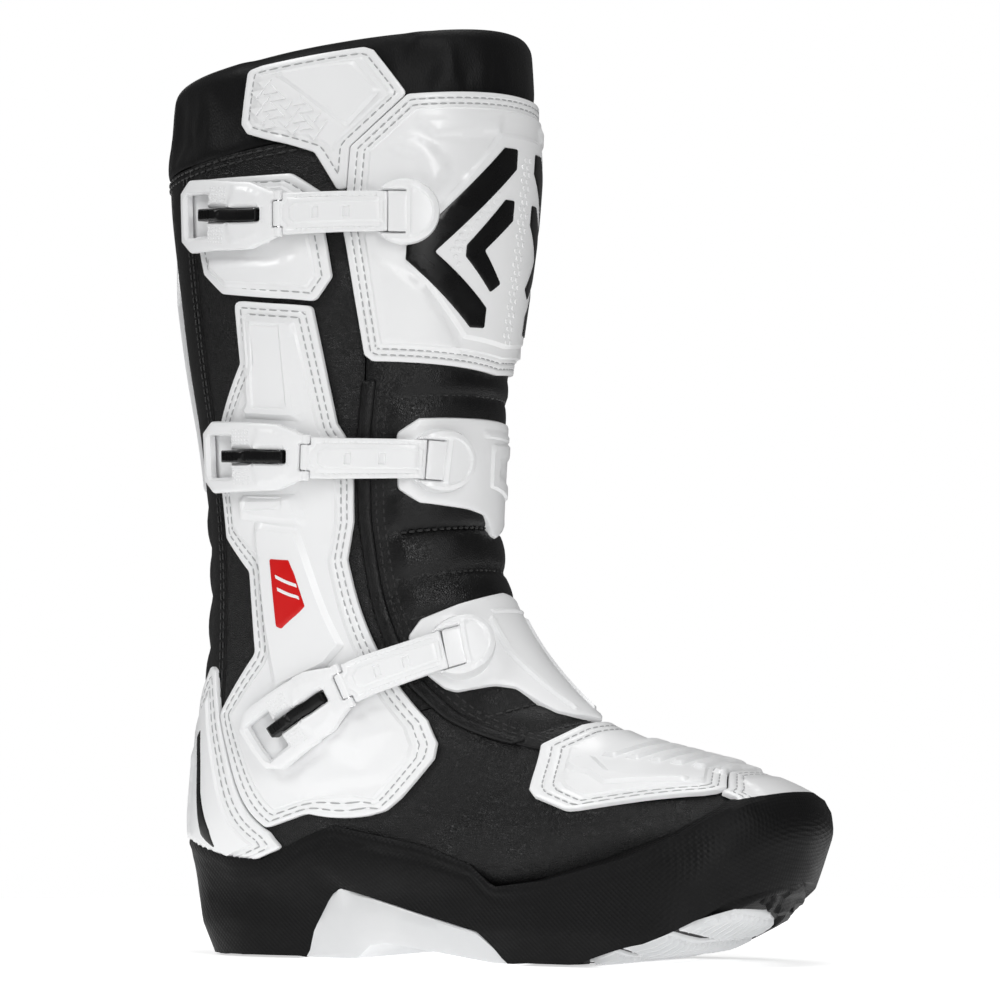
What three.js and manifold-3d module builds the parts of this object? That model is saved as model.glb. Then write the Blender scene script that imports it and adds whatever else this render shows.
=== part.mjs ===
// Off-road riding boot, right foot, closed. Millimetres, +Z up, +X towards the toe, buckles on -Y.
// The origin is on the ground, at the middle of the heel's flat face.
//
// Every panel and plate is laid out on one skin: the outside of the leather. A point of the skin has a
// turn (degrees round the boot: 0 front or top, 90 buckle side, 180 back or underside, -90 inner side),
// a level (distance along the boot, which is the height on the shaft and runs on below 0 to the toe) and
// a lift (millimetres out of the skin).
import * as THREE from "three";
import { mergeVertices } from "three/addons/utils/BufferGeometryUtils.js";
import Module from "manifold-3d";

// ---------------------------------------------------------------- overall sizes
const LENGTH = 302; // outsole, heel to toe
const HEIGHT = 410; // ground to collar
const WIDTH = 124; // leather over the calf

// ---------------------------------------------------------------- walls and gaps
const GAP = 0.5; // between two layers that are sewn or glued together
const SEAM = 0.5; // degrees or millimetres between two panels that meet edge to edge
const LEATHER = 3; // upper leather with its foam
const STIFFENER = 1.4; // toe box, counter, board and ankle pads
const LINER = 2.3;
const FOOTBED = 3;
const PLATE = 2.5; // moulded plates
const CUFF = 3.5; // the two strap pads
const BINDING = 1.4;
const SHANK = 1.8;

// ---------------------------------------------------------------- closures
const DISC_RADIUS = 14;
const DISC_HEIGHT = 6;
const DISC_FLOOR = 1; // left under the strap
const DISC_RIDE = 1.2; // under the flat disc, which lies on a curved pad
const MOUTH_AT = 8; // strap hinge, from the middle of the disc
const STRAP_WIDTH = 17;
const STRAP_THICK = 2.4;
const LEVER_LENGTH = 52; // from the buckle pin to its free end
const LEVER_WIDTH = 32;
const LEVER_NECK = 20; // over the two ears at the buckle pin
const LEVER_THICK = 4;
const WINDOW = { length: 7, width: 18, rim: 4 }; // finger loop at the free end
const BARREL_RADIUS = 3.1; // ears and knuckle
const BUCKLE_PIN_RADIUS = 1.2;
const LATCH_WIDTH = 5.2;
const LATCH_LENGTH = 30;
const LATCH_THICK = 4;
const LATCH_FROM = 9.5; // its front end, from the buckle pin
const LATCH_PIN_RADIUS = 0.8;
const LATCH_PIN_LENGTH = 12;
const HOOK_LENGTH = 3;
const BASE_THICK = 1.4;
const FIT = 0.3; // round a pin
const SLIP = 0.4; // beside a moving piece
const RIDE = 0.6; // between a fixed curved piece and one that moves over it

// ---------------------------------------------------------------- sole
const SOLE_UNDERCUT = 4; // how far the wall leans in at the ground
const HEEL_LEAN = 9; // more of it behind the heel
const TOE_LEAN = 11; // and in front of the toe
const INSERT_THICK = 4.5;
const LUG_WIDTH = 7;
const LUG_GROOVE = 4;
const LUG_DEPTH = 2.5;

// ---------------------------------------------------------------- facets of the skin
const TURN_STEP = 12;
const RISE_STEP = 24.5;

const COLOURS = {
  white_tpu: { color: 0xf1f1f0, roughness: 0.22, metalness: 0 },
  black_leather: { color: 0x111112, roughness: 0.48, metalness: 0 },
  black_textile: { color: 0x161617, roughness: 0.9, metalness: 0 },
  black_rubber: { color: 0x0e0e0f, roughness: 0.7, metalness: 0 },
  black_plastic: { color: 0x0b0b0c, roughness: 0.3, metalness: 0 },
  white_rubber: { color: 0xe6e7e8, roughness: 0.5, metalness: 0 },
  grey_board: { color: 0x8a857c, roughness: 0.9, metalness: 0 },
  steel: { color: 0x9a9da1, roughness: 0.3, metalness: 1 },
};

const wasm = await Module();
wasm.setup();

// ---------------------------------------------------------------- the skin
// Sections of the boot, from collar to toe, for a boot 302 long, 410 high and 124 wide. Each has its
// level, its front (x, z), its back (x, z), half its width, its middle in y, and how square its front
// and back are (2 is an ellipse).
const stretchX = LENGTH / 302;
const stretchY = WIDTH / 124;
const stretchZ = HEIGHT / 410;
const SECTIONS = [
  [410, 117, 406, -46, 388, 61, 0, 2.15, 2.15],
  [370, 119, 370, -51, 352, 62, 0, 2.15, 2.15],
  [320, 116, 322, -47, 308, 61, 0, 2.15, 2.15],
  [270, 109, 273, -41, 262, 57, 0, 2.15, 2.15],
  [225, 103, 229, -33, 218, 53, 0, 2.15, 2.2],
  [185, 102, 190, -29, 172, 49, 0, 2.15, 2.3],
  [150, 108, 158, -30, 128, 47, 0, 2.1, 2.4],
  [115, 124, 131, -34, 84, 45, 0, 2.1, 2.6],
  [80, 149, 106, -34, 44, 44, 0, 2.1, 2.8],
  [45, 175, 92, -8, 26, 46, 1, 2.15, 3.2],
  [5, 200, 85, 58, 23, 50, 2, 2.2, 3.4],
  [-35, 223, 79, 124, 22, 53, 4, 2.3, 3.4],
  [-70, 241, 72, 183, 28, 49, 7, 2.3, 3.0],
  [-95, 252, 65, 223, 37, 36, 9, 2.2, 2.5],
  [-106, 257, 57, 246, 46, 18, 10, 2.0, 2.0],
]
  .map(([level, fx, fz, bx, bz, w, y, nf, nb]) => ({
    level,
    form: [fx * stretchX, fz * stretchZ, bx * stretchX, bz * stretchZ, w * stretchY, y * stretchY, nf, nb],
  }))
  .reverse();
const TOE_TIP = SECTIONS[0].level;
const COLLAR_TOP = SECTIONS.at(-1).level;

// The section at a level: a smooth blend of its neighbours (cubic Hermite).
function sectionAt(level) {
  const at = THREE.MathUtils.clamp(level, TOE_TIP, COLLAR_TOP);
  let i = SECTIONS.findIndex((s) => s.level >= at) - 1;
  i = THREE.MathUtils.clamp(i, 0, SECTIONS.length - 2);
  const slope = (k) => {
    const a = SECTIONS[Math.max(k - 1, 0)];
    const b = SECTIONS[Math.min(k + 1, SECTIONS.length - 1)];
    return b.form.map((value, j) => (value - a.form[j]) / (b.level - a.level));
  };
  const [p, q] = [SECTIONS[i], SECTIONS[i + 1]];
  const [sp, sq] = [slope(i), slope(i + 1)];
  const span = q.level - p.level;
  const t = (at - p.level) / span;
  const [t2, t3] = [t * t, t * t * t];
  return p.form.map(
    (value, j) =>
      value * (2 * t3 - 3 * t2 + 1) +
      sp[j] * span * (t3 - 2 * t2 + t) +
      q.form[j] * (3 * t2 - 2 * t3) +
      sq[j] * span * (t3 - t2),
  );
}

function skinPoint(turn, level) {
  const [fx, fz, bx, bz, w, y, nf, nb] = sectionAt(level);
  const c = Math.cos(THREE.MathUtils.degToRad(turn));
  const s = Math.sin(THREE.MathUtils.degToRad(turn));
  const power = 2 / (c > 0 ? nf : nb);
  const u = Math.sign(c) * Math.abs(c) ** power;
  const v = Math.sign(s) * Math.abs(s) ** power;
  const [atX, atZ] = [(fx + bx) / 2 + ((fx - bx) / 2) * u, (fz + bz) / 2 + ((fz - bz) / 2) * u];
  return new THREE.Vector3(atX, y - w * v, atZ);
}

function skinNormal(turn, level) {
  const low = Math.max(level - 2, TOE_TIP);
  const high = Math.min(level + 2, COLLAR_TOP);
  const up = skinPoint(turn, high).sub(skinPoint(turn, low));
  const round = skinPoint(turn + 2, level).sub(skinPoint(turn - 2, level));
  return up.cross(round).normalize();
}

// A point lifted off the smooth skin.
function lifted(turn, level, lift) {
  return skinPoint(turn, level).addScaledVector(skinNormal(turn, level), lift);
}

// ---------------------------------------------------------------- the faceted skin
// All panels share one set of facets, so that layers stay parallel and keep their gaps.
const LEVELS = [TOE_TIP, -95];
for (let level = -80; level <= COLLAR_TOP; level += RISE_STEP) LEVELS.push(level);

const corners = new Map();
function corner(column, row) {
  const turns = 360 / TURN_STEP;
  const key = `${((column % turns) + turns) % turns},${row}`;
  if (!corners.has(key)) {
    const [turn, level] = [column * TURN_STEP, LEVELS[row]];
    corners.set(key, { point: skinPoint(turn, level), normal: skinNormal(turn, level) });
  }
  return corners.get(key);
}

function onFacets(turn, level, lift) {
  const column = Math.floor(turn / TURN_STEP);
  const a = turn / TURN_STEP - column;
  const above = LEVELS.findIndex((value) => value > level);
  const row = above < 0 ? LEVELS.length - 2 : Math.max(above - 1, 0);
  const b = THREE.MathUtils.clamp((level - LEVELS[row]) / (LEVELS[row + 1] - LEVELS[row]), 0, 1);
  const parts =
    a + b <= 1
      ? [[corner(column, row), 1 - a - b], [corner(column + 1, row), a], [corner(column, row + 1), b]]
      : [
          [corner(column + 1, row + 1), a + b - 1],
          [corner(column, row + 1), 1 - a],
          [corner(column + 1, row), 1 - b],
        ];
  const out = new THREE.Vector3();
  for (const [{ point, normal }, share] of parts) {
    out.addScaledVector(point, share).addScaledVector(normal, lift * share);
  }
  return out;
}

// ---------------------------------------------------------------- solids
function solidOf(geometry) {
  for (const name of ["normal", "uv"]) geometry.deleteAttribute(name);
  const merged = mergeVertices(geometry, 1e-4);
  return new wasm.Manifold(
    new wasm.Mesh({
      numProp: 3,
      vertProperties: new Float32Array(merged.getAttribute("position").array),
      triVerts: new Uint32Array(merged.getIndex().array),
    }),
  );
}

function solidOfPoints(points, faces) {
  const geometry = new THREE.BufferGeometry().setFromPoints(points);
  geometry.setIndex(faces.flat());
  return solidOf(geometry);
}

function geometryOf(solid) {
  const { vertProperties, triVerts } = solid.getMesh();
  const geometry = new THREE.BufferGeometry();
  geometry.setAttribute("position", new THREE.BufferAttribute(new Float32Array(vertProperties), 3));
  geometry.setIndex(new THREE.BufferAttribute(new Uint32Array(triVerts), 1));
  geometry.computeVertexNormals();
  return geometry;
}

function meshOf(name, look, solid) {
  const mesh = new THREE.Mesh(geometryOf(solid), new THREE.MeshStandardMaterial(COLOURS[look]));
  mesh.name = name;
  return mesh;
}

function polygon(points) {
  return new THREE.Shape(points.map(([x, y]) => new THREE.Vector2(x, y)));
}

// The lines of a grid that cover a range, with one to spare at each end.
function linesOver(lines, low, high) {
  const first = Math.max(lines.findLastIndex((value) => value <= low), 0);
  const last = lines.findIndex((value) => value >= high);
  return lines.slice(first, (last < 0 ? lines.length - 1 : last) + 1);
}

function steps(step, low, high) {
  const lines = [];
  for (let k = Math.floor(low / step); k <= Math.ceil(high / step); k++) lines.push(k * step);
  return lines;
}

// A sheet of constant thickness with a given outline, laid on the skin by `place(u, v, lift)`.
// It is cut flat, where its grid is very slightly domed so that no two facets merge.
const DOME = 1e-4;
function sheet(outline, holes, inner, outer, us, vs, place) {
  const dome = (u, v) => DOME * (u * u + v * v);
  const points = [];
  for (const lift of [inner, outer]) {
    for (const v of vs) for (const u of us) points.push(new THREE.Vector3(u, v, lift + dome(u, v)));
  }
  const [nu, nv] = [us.length, vs.length];
  const top = nu * nv;
  const faces = [];
  for (let j = 0; j + 1 < nv; j++) {
    for (let i = 0; i + 1 < nu; i++) {
      const [a, b, c, d] = [j * nu + i, j * nu + i + 1, (j + 1) * nu + i, (j + 1) * nu + i + 1];
      faces.push([a, c, b], [d, b, c], [top + a, top + b, top + c], [top + d, top + c, top + b]);
    }
  }
  const rim = [];
  for (let i = 0; i < nu - 1; i++) rim.push(i);
  for (let j = 0; j < nv - 1; j++) rim.push(j * nu + nu - 1);
  for (let i = nu - 1; i > 0; i--) rim.push((nv - 1) * nu + i);
  for (let j = nv - 1; j > 0; j--) rim.push(j * nu);
  rim.forEach((a, k) => {
    const b = rim[(k + 1) % rim.length];
    faces.push([a, b, top + a], [b, top + b, top + a]);
  });
  const shape = polygon(outline);
  shape.holes = holes.map(polygon);
  const tall = 400;
  const knife = new THREE.ExtrudeGeometry(shape, { depth: tall, bevelEnabled: false, curveSegments: 4 });
  knife.translate(0, 0, -tall / 2);
  const cut = solidOfPoints(points, faces).intersect(solidOf(knife)).getMesh();
  const placed = [];
  for (let k = 0; k < cut.vertProperties.length; k += 3) {
    const [u, v, w] = cut.vertProperties.subarray(k, k + 3);
    placed.push(place(u, v, w - dome(u, v)));
  }
  const turned = [];
  for (let k = 0; k < cut.triVerts.length; k += 3) {
    turned.push([cut.triVerts[k], cut.triVerts[k + 2], cut.triVerts[k + 1]]);
  }
  return solidOfPoints(placed, turned);
}

// A piece of the upper or a moulded plate: its outline in turn and level.
function panel(outline, inner, thickness) {
  const turns = outline.map(([turn]) => turn);
  const levels = outline.map(([, level]) => level);
  const us = steps(TURN_STEP, Math.min(...turns), Math.max(...turns));
  const vs = linesOver(LEVELS, Math.min(...levels), Math.max(...levels));
  return sheet(outline, [], inner, inner + thickness, us, vs, onFacets);
}

function mirrored(points) {
  return points.map(([turn, level]) => [-turn, level]).reverse();
}

// A closed body of rings, each a list of points, capped at both ends.
function lofted(rings) {
  const n = rings[0].length;
  const points = rings.flat();
  const faces = [];
  for (let j = 0; j + 1 < rings.length; j++) {
    for (let i = 0; i < n; i++) {
      const [a, b] = [j * n + i, j * n + ((i + 1) % n)];
      faces.push([a, b, a + n], [b, b + n, a + n]);
    }
  }
  for (const [start, flip] of [[0, true], [(rings.length - 1) * n, false]]) {
    const middle = points.length;
    const sum = new THREE.Vector3();
    for (let i = 0; i < n; i++) sum.add(points[start + i]);
    points.push(sum.divideScalar(n));
    for (let i = 0; i < n; i++) {
      const [a, b] = [start + i, start + ((i + 1) % n)];
      faces.push(flip ? [b, a, middle] : [a, b, middle]);
    }
  }
  return solidOfPoints(points, faces);
}

// A solid of the whole boot inside a lift, between two levels, on every n-th facet line.
function core(lift, from, to, every = 1) {
  const rings = [];
  for (const level of [from, ...LEVELS.filter((value) => value > from && value < to), to]) {
    const ring = [];
    for (let column = 0; column < 360 / TURN_STEP; column += every) {
      ring.push(onFacets(-column * TURN_STEP, level, lift));
    }
    rings.push(ring);
  }
  return lofted(rings);
}

// ---------------------------------------------------------------- outlines of the upper
const ANKLE_SEAM = 100; // level where the foot part meets the shaft
const COLLAR_SEAM = 361;
const COLLAR_RIM = 6; // below the top section
const VAMP_SEAM = 20; // where the front of the foot part meets its rear, under the side plates
const LINER_SEAM = 60;
const LINER_RIM = 3; // the lining stands a little above the collar
const BACK_SEAM = 127; // turn where the side panels meet the rear one
// Edge of the soft front panel on the buckle side.
const FLEX_EDGE = [
  [38, 56], [54, 93], [59, 111], [61.5, 133], [63, 160], [64.5, 188], [64, 206], [63.5, 223], [61.5, 248], [60, 372],
];
const BINDING_FOOT = [43, 68]; // where the binding runs out on the instep
const FLEX_FOOT = 50; // level of its lowest point on the instep
const flexAt = FLEX_EDGE.filter(([, level]) => level > ANKLE_SEAM);

function shifted(points, turn, level = 0) {
  return points.map(([a, b]) => [a + turn, b + level]);
}

function upper() {
  const skin = -LEATHER;
  const flex = [[0, FLEX_FOOT], ...FLEX_EDGE];
  const seamOnFlex = FLEX_EDGE.findIndex(([, level]) => level > ANKLE_SEAM);
  const low = FLEX_EDGE.slice(0, seamOnFlex);
  const atSeam = [[FLEX_EDGE[seamOnFlex][0] - 1, ANKLE_SEAM]];
  const instep = [...shifted(low, SEAM, -SEAM), ...shifted(atSeam, SEAM)];
  const side = [
    ...shifted(atSeam, SEAM, SEAM),
    ...shifted(flexAt.slice(0, -1), SEAM),
    [FLEX_EDGE.at(-1)[0] + SEAM, COLLAR_SEAM - SEAM],
    [BACK_SEAM - SEAM, COLLAR_SEAM - SEAM],
    [BACK_SEAM - SEAM, ANKLE_SEAM + SEAM],
  ];
  const half = 180 - SEAM / 2;
  const vampEnd = VAMP_SEAM - 3 * SEAM;
  const vamp = [[-half, TOE_TIP], [half, TOE_TIP], [half, vampEnd], [-half, vampEnd]];
  const quarter = [
    [-half, VAMP_SEAM], [half, VAMP_SEAM], [half, ANKLE_SEAM], ...instep.toReversed(),
    [0, FLEX_FOOT - SEAM], ...mirrored(instep.toReversed()), [-half, ANKLE_SEAM],
  ];
  const front = [...flex, ...mirrored(FLEX_EDGE)];
  front[FLEX_EDGE.length] = [FLEX_EDGE.at(-1)[0], COLLAR_SEAM - SEAM];
  front[FLEX_EDGE.length + 1] = [-FLEX_EDGE.at(-1)[0], COLLAR_SEAM - SEAM];
  const rear = [
    [BACK_SEAM, ANKLE_SEAM + SEAM], [360 - BACK_SEAM, ANKLE_SEAM + SEAM],
    [360 - BACK_SEAM, COLLAR_SEAM - SEAM], [BACK_SEAM, COLLAR_SEAM - SEAM],
  ];
  const collarEnd = COLLAR_TOP - COLLAR_RIM;
  const collar = [[-half, COLLAR_SEAM], [half, COLLAR_SEAM], [half, collarEnd], [-half, collarEnd]];
  return [
    meshOf("vamp", "black_leather", panel(vamp, skin, LEATHER)),
    meshOf("heel_quarter", "black_leather", panel(quarter, skin, LEATHER)),
    meshOf("front_flex_panel", "black_leather", panel(front, skin, LEATHER)),
    meshOf("outer_shaft_panel", "black_leather", panel(side, skin, LEATHER)),
    meshOf("inner_shaft_panel", "black_leather", panel(mirrored(side), skin, LEATHER)),
    meshOf("rear_flex_panel", "black_leather", panel(rear, skin, LEATHER)),
    meshOf("collar", "black_textile", panel(collar, skin, LEATHER)),
  ];
}

// ---------------------------------------------------------------- inside the upper
function lining() {
  const stiff = -LEATHER - GAP - STIFFENER;
  const outside = stiff - GAP;
  const inside = outside - LINER;
  const every = 2;
  const closedToe = -95;
  const room = core(inside, closedToe + 8, COLLAR_TOP, every);
  const foot = core(outside, closedToe, LINER_SEAM, every).subtract(room);
  const shaft = core(outside, LINER_SEAM + SEAM, COLLAR_TOP - LINER_RIM, every).subtract(room);
  const toeBox = [[-135, -100], [135, -100], [135, 5], [60, 12], [0, 16], [-60, 12], [-135, 5]];
  const counter = [[115, 62], [245, 62], [245, 118], [215, 134], [145, 134], [115, 118]];
  const ankle = [[76, 122], [84, 114], [102, 114], [110, 122], [110, 160], [102, 170], [84, 170], [76, 160]];
  const board = [[150, -72], [210, -72], [212, 40], [148, 40]];
  const bed = [[152, -74], [208, -74], [210, 38], [150, 38]];
  return [
    meshOf("foot_lining", "black_textile", foot),
    meshOf("shaft_lining", "black_textile", shaft),
    meshOf("toe_box", "black_plastic", panel(toeBox, stiff, STIFFENER)),
    meshOf("heel_counter", "black_plastic", panel(counter, stiff, STIFFENER)),
    meshOf("outer_ankle_pad", "black_textile", panel(ankle, stiff, STIFFENER)),
    meshOf("inner_ankle_pad", "black_textile", panel(mirrored(ankle), stiff, STIFFENER)),
    meshOf("insole_board", "grey_board", panel(board, stiff, STIFFENER)),
    meshOf("footbed", "black_textile", panel(bed, inside - 3 * GAP - FOOTBED, FOOTBED)),
  ];
}

// ---------------------------------------------------------------- sole
// Plan of the outsole, as the points of a closed smooth curve.
const SOLE_PLAN = [
  [-40, 0], [-31, -25], [-2, -37.5], [45, -40], [95, -45], [150, -54], [195, -55], [232, -45], [255, -20],
  [261, 8], [252, 37], [225, 54], [175, 58], [110, 52], [50, 42], [-2, 37.5], [-31, 25],
];
// The wall's top edge and the tread, seen from the side.
const WALL_TOP = [
  [-50, 61], [-30, 50], [0, 43], [22, 42], [44, 52], [58, 57], [98, 49], [122, 41], [134, 32], [160, 35],
  [195, 44], [225, 55], [248, 69], [270, 74],
];
const TREAD = [
  [-50, 2], [-34, 0], [60, 0], [68, 6], [76, 7], [132, 0], [176, 0], [205, 5], [235, 17], [270, 40],
];
// The pale insert through the waist, seen from the side, and the corner it rises to.
const WAIST_BRIDGE = 14; // height of its underside part
const WAIST_WALL = 33; // half the width between its two side walls
const WAIST = [[29.5, -5], [48, 27], [54, 30], [70, 26], [94, 20], [125, 13], [133, 7], [146, -5]];

const sized = (points) => points.map(([x, z]) => [x * stretchX, z * stretchZ]);

// A prism across the boot with a given outline in x and z.
function sidePrism(points) {
  const wide = 200 * stretchY;
  const geometry = new THREE.ExtrudeGeometry(polygon(points), { depth: wide, bevelEnabled: false });
  geometry.rotateX(Math.PI / 2).translate(0, wide / 2, 0);
  return solidOf(geometry);
}

function soleBlank() {
  const plan = SOLE_PLAN.map(([x, y]) => new THREE.Vector3(x * stretchX, y * stretchY, 0));
  const curve = new THREE.CatmullRomCurve3(plan, true, "catmullrom", 0.5);
  const middle = new THREE.Vector3(110 * stretchX, 2, 0);
  const { clamp, smoothstep } = THREE.MathUtils;
  const ringAt = (z) =>
    curve.getPoints(44).slice(0, -1).map((p) => {
      const [x, height] = [p.x / stretchX, z / stretchZ];
      const inward = middle.clone().sub(p).normalize();
      const inset = SOLE_UNDERCUT * clamp((14 - height) / 14, 0, 1);
      const behind = HEEL_LEAN * clamp((10 - x) / 50, 0, 1) * clamp((48 - height) / 48, 0, 1);
      const ahead = TOE_LEAN * smoothstep(x, 205, 261) * clamp((66 - height) / 45, 0, 1);
      return p.clone().addScaledVector(inward, inset + ahead).add(new THREE.Vector3(behind, 0, z));
    });
  const heights = [-10, 0, 14, 21, 48, 66, 100];
  return lofted(heights.map((height) => ringAt(height * stretchZ))).intersect(
    sidePrism([...sized(TREAD), ...sized(WALL_TOP).reverse()]),
  );
}

function sole() {
  const body = core(GAP - 0.1, TOE_TIP, 150);
  const blank = soleBlank().subtract(body);
  const arch = blank.intersect(waistBlock(0));
  const shankTurns = (grow) => [
    [172 - grow, -20 - grow], [188 + grow, -20 - grow], [188 + grow, 34 + grow], [172 - grow, 34 + grow],
  ];
  const shank = panel(shankTurns(0), 2 * GAP, SHANK);
  const shankBed = panel(shankTurns(0.8), -1, 1 + 3 * GAP + SHANK);
  const insert = treadInsert(blank, 0);
  const outsole = blank
    .subtract(waistBlock(FIT))
    .subtract(shankBed)
    .subtract(treadInsert(blank, FIT));
  return [
    meshOf("outsole", "black_rubber", outsole),
    meshOf("arch_insert", "white_rubber", arch),
    meshOf("tread_insert", "white_rubber", cutLugs(insert)),
    meshOf("steel_shank", "steel", shank),
  ];
}

// The pale insert through the waist: full height at the walls, a low bridge between them.
function waistBlock(grow) {
  const outside = sidePrism(sized(WAIST).map(([x, z], k) => [x + (k < 2 ? -grow : grow), z + grow]));
  const hollow = new THREE.BoxGeometry(300 * stretchX, 2 * (WAIST_WALL * stretchY - grow), 100);
  hollow.translate(100 * stretchX, 0, WAIST_BRIDGE + grow + 50);
  return outside.subtract(solidOf(hollow));
}

// The pale insert under the ball of the foot, and its pocket when it is grown by a gap.
const INSERT_SPAN = { from: 178, to: 236, half: 30 };
function treadInsert(blank, grow) {
  const under = sized(TREAD).filter(([x]) => x > 150 * stretchX && x < 262 * stretchX);
  const over = under.map(([x, z]) => [x, z + INSERT_THICK + grow]).reverse();
  const band = sidePrism([...under.map(([x, z]) => [x, z - 20]), ...over]);
  const { from, to, half } = INSERT_SPAN;
  const block = new THREE.BoxGeometry((to - from) * stretchX + 2 * grow, 2 * (half * stretchY + grow), 200);
  block.translate(((to + from) / 2) * stretchX, 4 * stretchY, 0);
  const whole = grow > 0 ? band : band.intersect(blank);
  return whole.intersect(solidOf(block));
}

// Grooves across the tread insert leave lugs.
function cutLugs(insert) {
  let lugs = insert;
  const pitch = LUG_WIDTH + LUG_GROOVE;
  const slope = (x) => treadHeight(x) + LUG_DEPTH;
  const first = INSERT_SPAN.from * stretchX + LUG_WIDTH;
  for (let x = first; x < INSERT_SPAN.to * stretchX - LUG_GROOVE; x += pitch) {
    const end = x + LUG_GROOVE;
    lugs = lugs.subtract(sidePrism([[x, -20], [end, -20], [end, slope(end)], [x, slope(x)]]));
  }
  return lugs;
}

function treadHeight(x) {
  const points = sized(TREAD);
  const k = points.findIndex(([px]) => px > x);
  const [[x0, z0], [x1, z1]] = [points[k - 1], points[k]];
  return z0 + ((z1 - z0) * (x - x0)) / (x1 - x0);
}

// Everything below the wall's top edge, so that plates end just above the sole.
function belowWall() {
  const top = sized(WALL_TOP).map(([x, z]) => [x, z + GAP]);
  return sidePrism([[top[0][0], -50], [top.at(-1)[0], -50], ...top.toReversed()]);
}

// ---------------------------------------------------------------- moulded plates
const SHIN_SIDE = [[59, 256], [62, 259], [66, 286], [70, 315], [69, 333], [68, 353], [50, 375]];
const SIDE_PLATE = [
  [90, 55], [97.5, 72], [109.5, 73], [126, 127], [107, 145], [109, 176], [122, 191], [123, 210], [119, 238],
  [106, 262], [106.5, 291], [80, 283], [75, 249], [72, 230], [69, 224], [66.5, 206], [67.5, 188], [71, 173],
  [66, 133], [63, 111], [60, 95], [61.5, 83], [65.5, 75.5], [82, 59], [88, 54.5],
];
const COLLAR_PLATE = [
  [101, 373], [100, 399], [95, 400], [64, 400], [61, 398], [51, 376], [69, 354], [70, 334], [72, 334], [79, 353],
  [99, 368],
];
const TOP_BACKING = [
  [79, 285], [111.5, 295], [120, 306], [121.5, 317], [120, 352], [86, 345], [77, 334], [76, 315], [73.5, 295],
];
const HEEL_SIDE = [[109.5, 70], [127, 127], [132, 144], [136, 146]];
const TOE_REAR = [
  [16, 67], [38, 61], [62, 25], [66, 16], [71.5, -8], [70, -12], [42, -51], [37, -54.5], [31, -55],
];
const TOE_SEAM = [[31, -55], [13, -37]];
const INNER_GUARD = [
  [-63, 98], [-66, 133], [-71, 173], [-70, 206], [-76, 249], [-78, 330], [-112, 330], [-118, 300], [-120, 240],
  [-122, 200], [-118, 150], [-112, 110], [-104, 70], [-90, 50], [-80, 60],
];
const CALF_PLATE = [[164, 214], [196, 208], [232, 208], [236, 300], [230, 330], [170, 330], [162, 300]];
const CUFF_PAD = [
  [49, 200], [49, 224], [40, 230], [-52, 230], [-60, 224], [-60, 196], [-40, 190], [-17, 181], [8, 176], [9, 188],
  [21, 190], [40, 193],
];
const INSTEP_SIDE = [
  [13, 74], [19, 79], [26, 97], [33, 101], [47, 103], [50, 106], [53, 114], [54, 134], [47, 141], [29, 145],
];

function plates() {
  const under = belowWall();
  const plate = (name, outline) => meshOf(name, "white_tpu", panel(outline, GAP, PLATE));
  const overSole = (name, outline) => meshOf(name, "white_tpu", panel(outline, GAP, PLATE).subtract(under));
  const pad = (name, outline) => meshOf(name, "white_tpu", panel(outline, GAP, CUFF));
  const shin = [[0, 250], ...SHIN_SIDE, ...mirrored(SHIN_SIDE)];
  const heel = [...HEEL_SIDE, [180, 128], ...HEEL_SIDE.toReversed().map(([turn, level]) => [360 - turn, level])];
  const toeSeam = shifted(TOE_SEAM, 0, -2 * SEAM);
  const toe = [...mirrored(TOE_SEAM), ...mirrored(TOE_REAR).slice(1), ...TOE_REAR, ...TOE_SEAM.slice(1)];
  const capSide = [...toeSeam.toReversed(), [39, -57], [41, -68], [54, -83], [60, -104]];
  const instep = [[0, 68], ...INSTEP_SIDE, [0, 149], ...mirrored(INSTEP_SIDE)];
  const bound = [BINDING_FOOT, ...FLEX_EDGE.slice(1, -1)];
  const binding = [...shifted(bound, 1), ...shifted(bound, -4.5).reverse()];
  return [
    plate("shin_plate", shin),
    plate("collar_side_plate", COLLAR_PLATE),
    plate("top_buckle_backing", TOP_BACKING),
    overSole("outer_side_plate", SIDE_PLATE),
    overSole("inner_side_guard", INNER_GUARD),
    plate("calf_plate", CALF_PLATE),
    overSole("heel_cup", heel),
    overSole("toe_plate", toe),
    overSole("toe_cap", [...mirrored(capSide), ...capSide]),
    pad("instep_pad", instep),
    pad("ankle_cuff", CUFF_PAD),
    meshOf("tongue_binding", "black_leather", panel(binding, GAP, BINDING)),
  ];
}

// ---------------------------------------------------------------- closures
// Each closure runs from its disc, round the buckle side, to the free end of its lever: turns and levels.
const CLOSURES = {
  top: [[50, 321], [59, 322], [82, 325], [99, 328.5], [111, 332], [123, 334]],
  mid: [[31, 211], [44, 212.5], [60, 214], [76, 216], [97, 220], [110, 222], [124, 224]],
  low: [[37, 122.3], [48, 122.3], [59.5, 121.7], [72.3, 121], [85, 118], [95, 113], [106, 107]],
};
const BACKING = { top: GAP + PLATE, mid: GAP + PLATE, low: GAP + PLATE }; // lift of what the base lies on
const PAD = { top: GAP + PLATE, mid: GAP + CUFF, low: GAP + CUFF }; // lift of what the disc lies on

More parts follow.
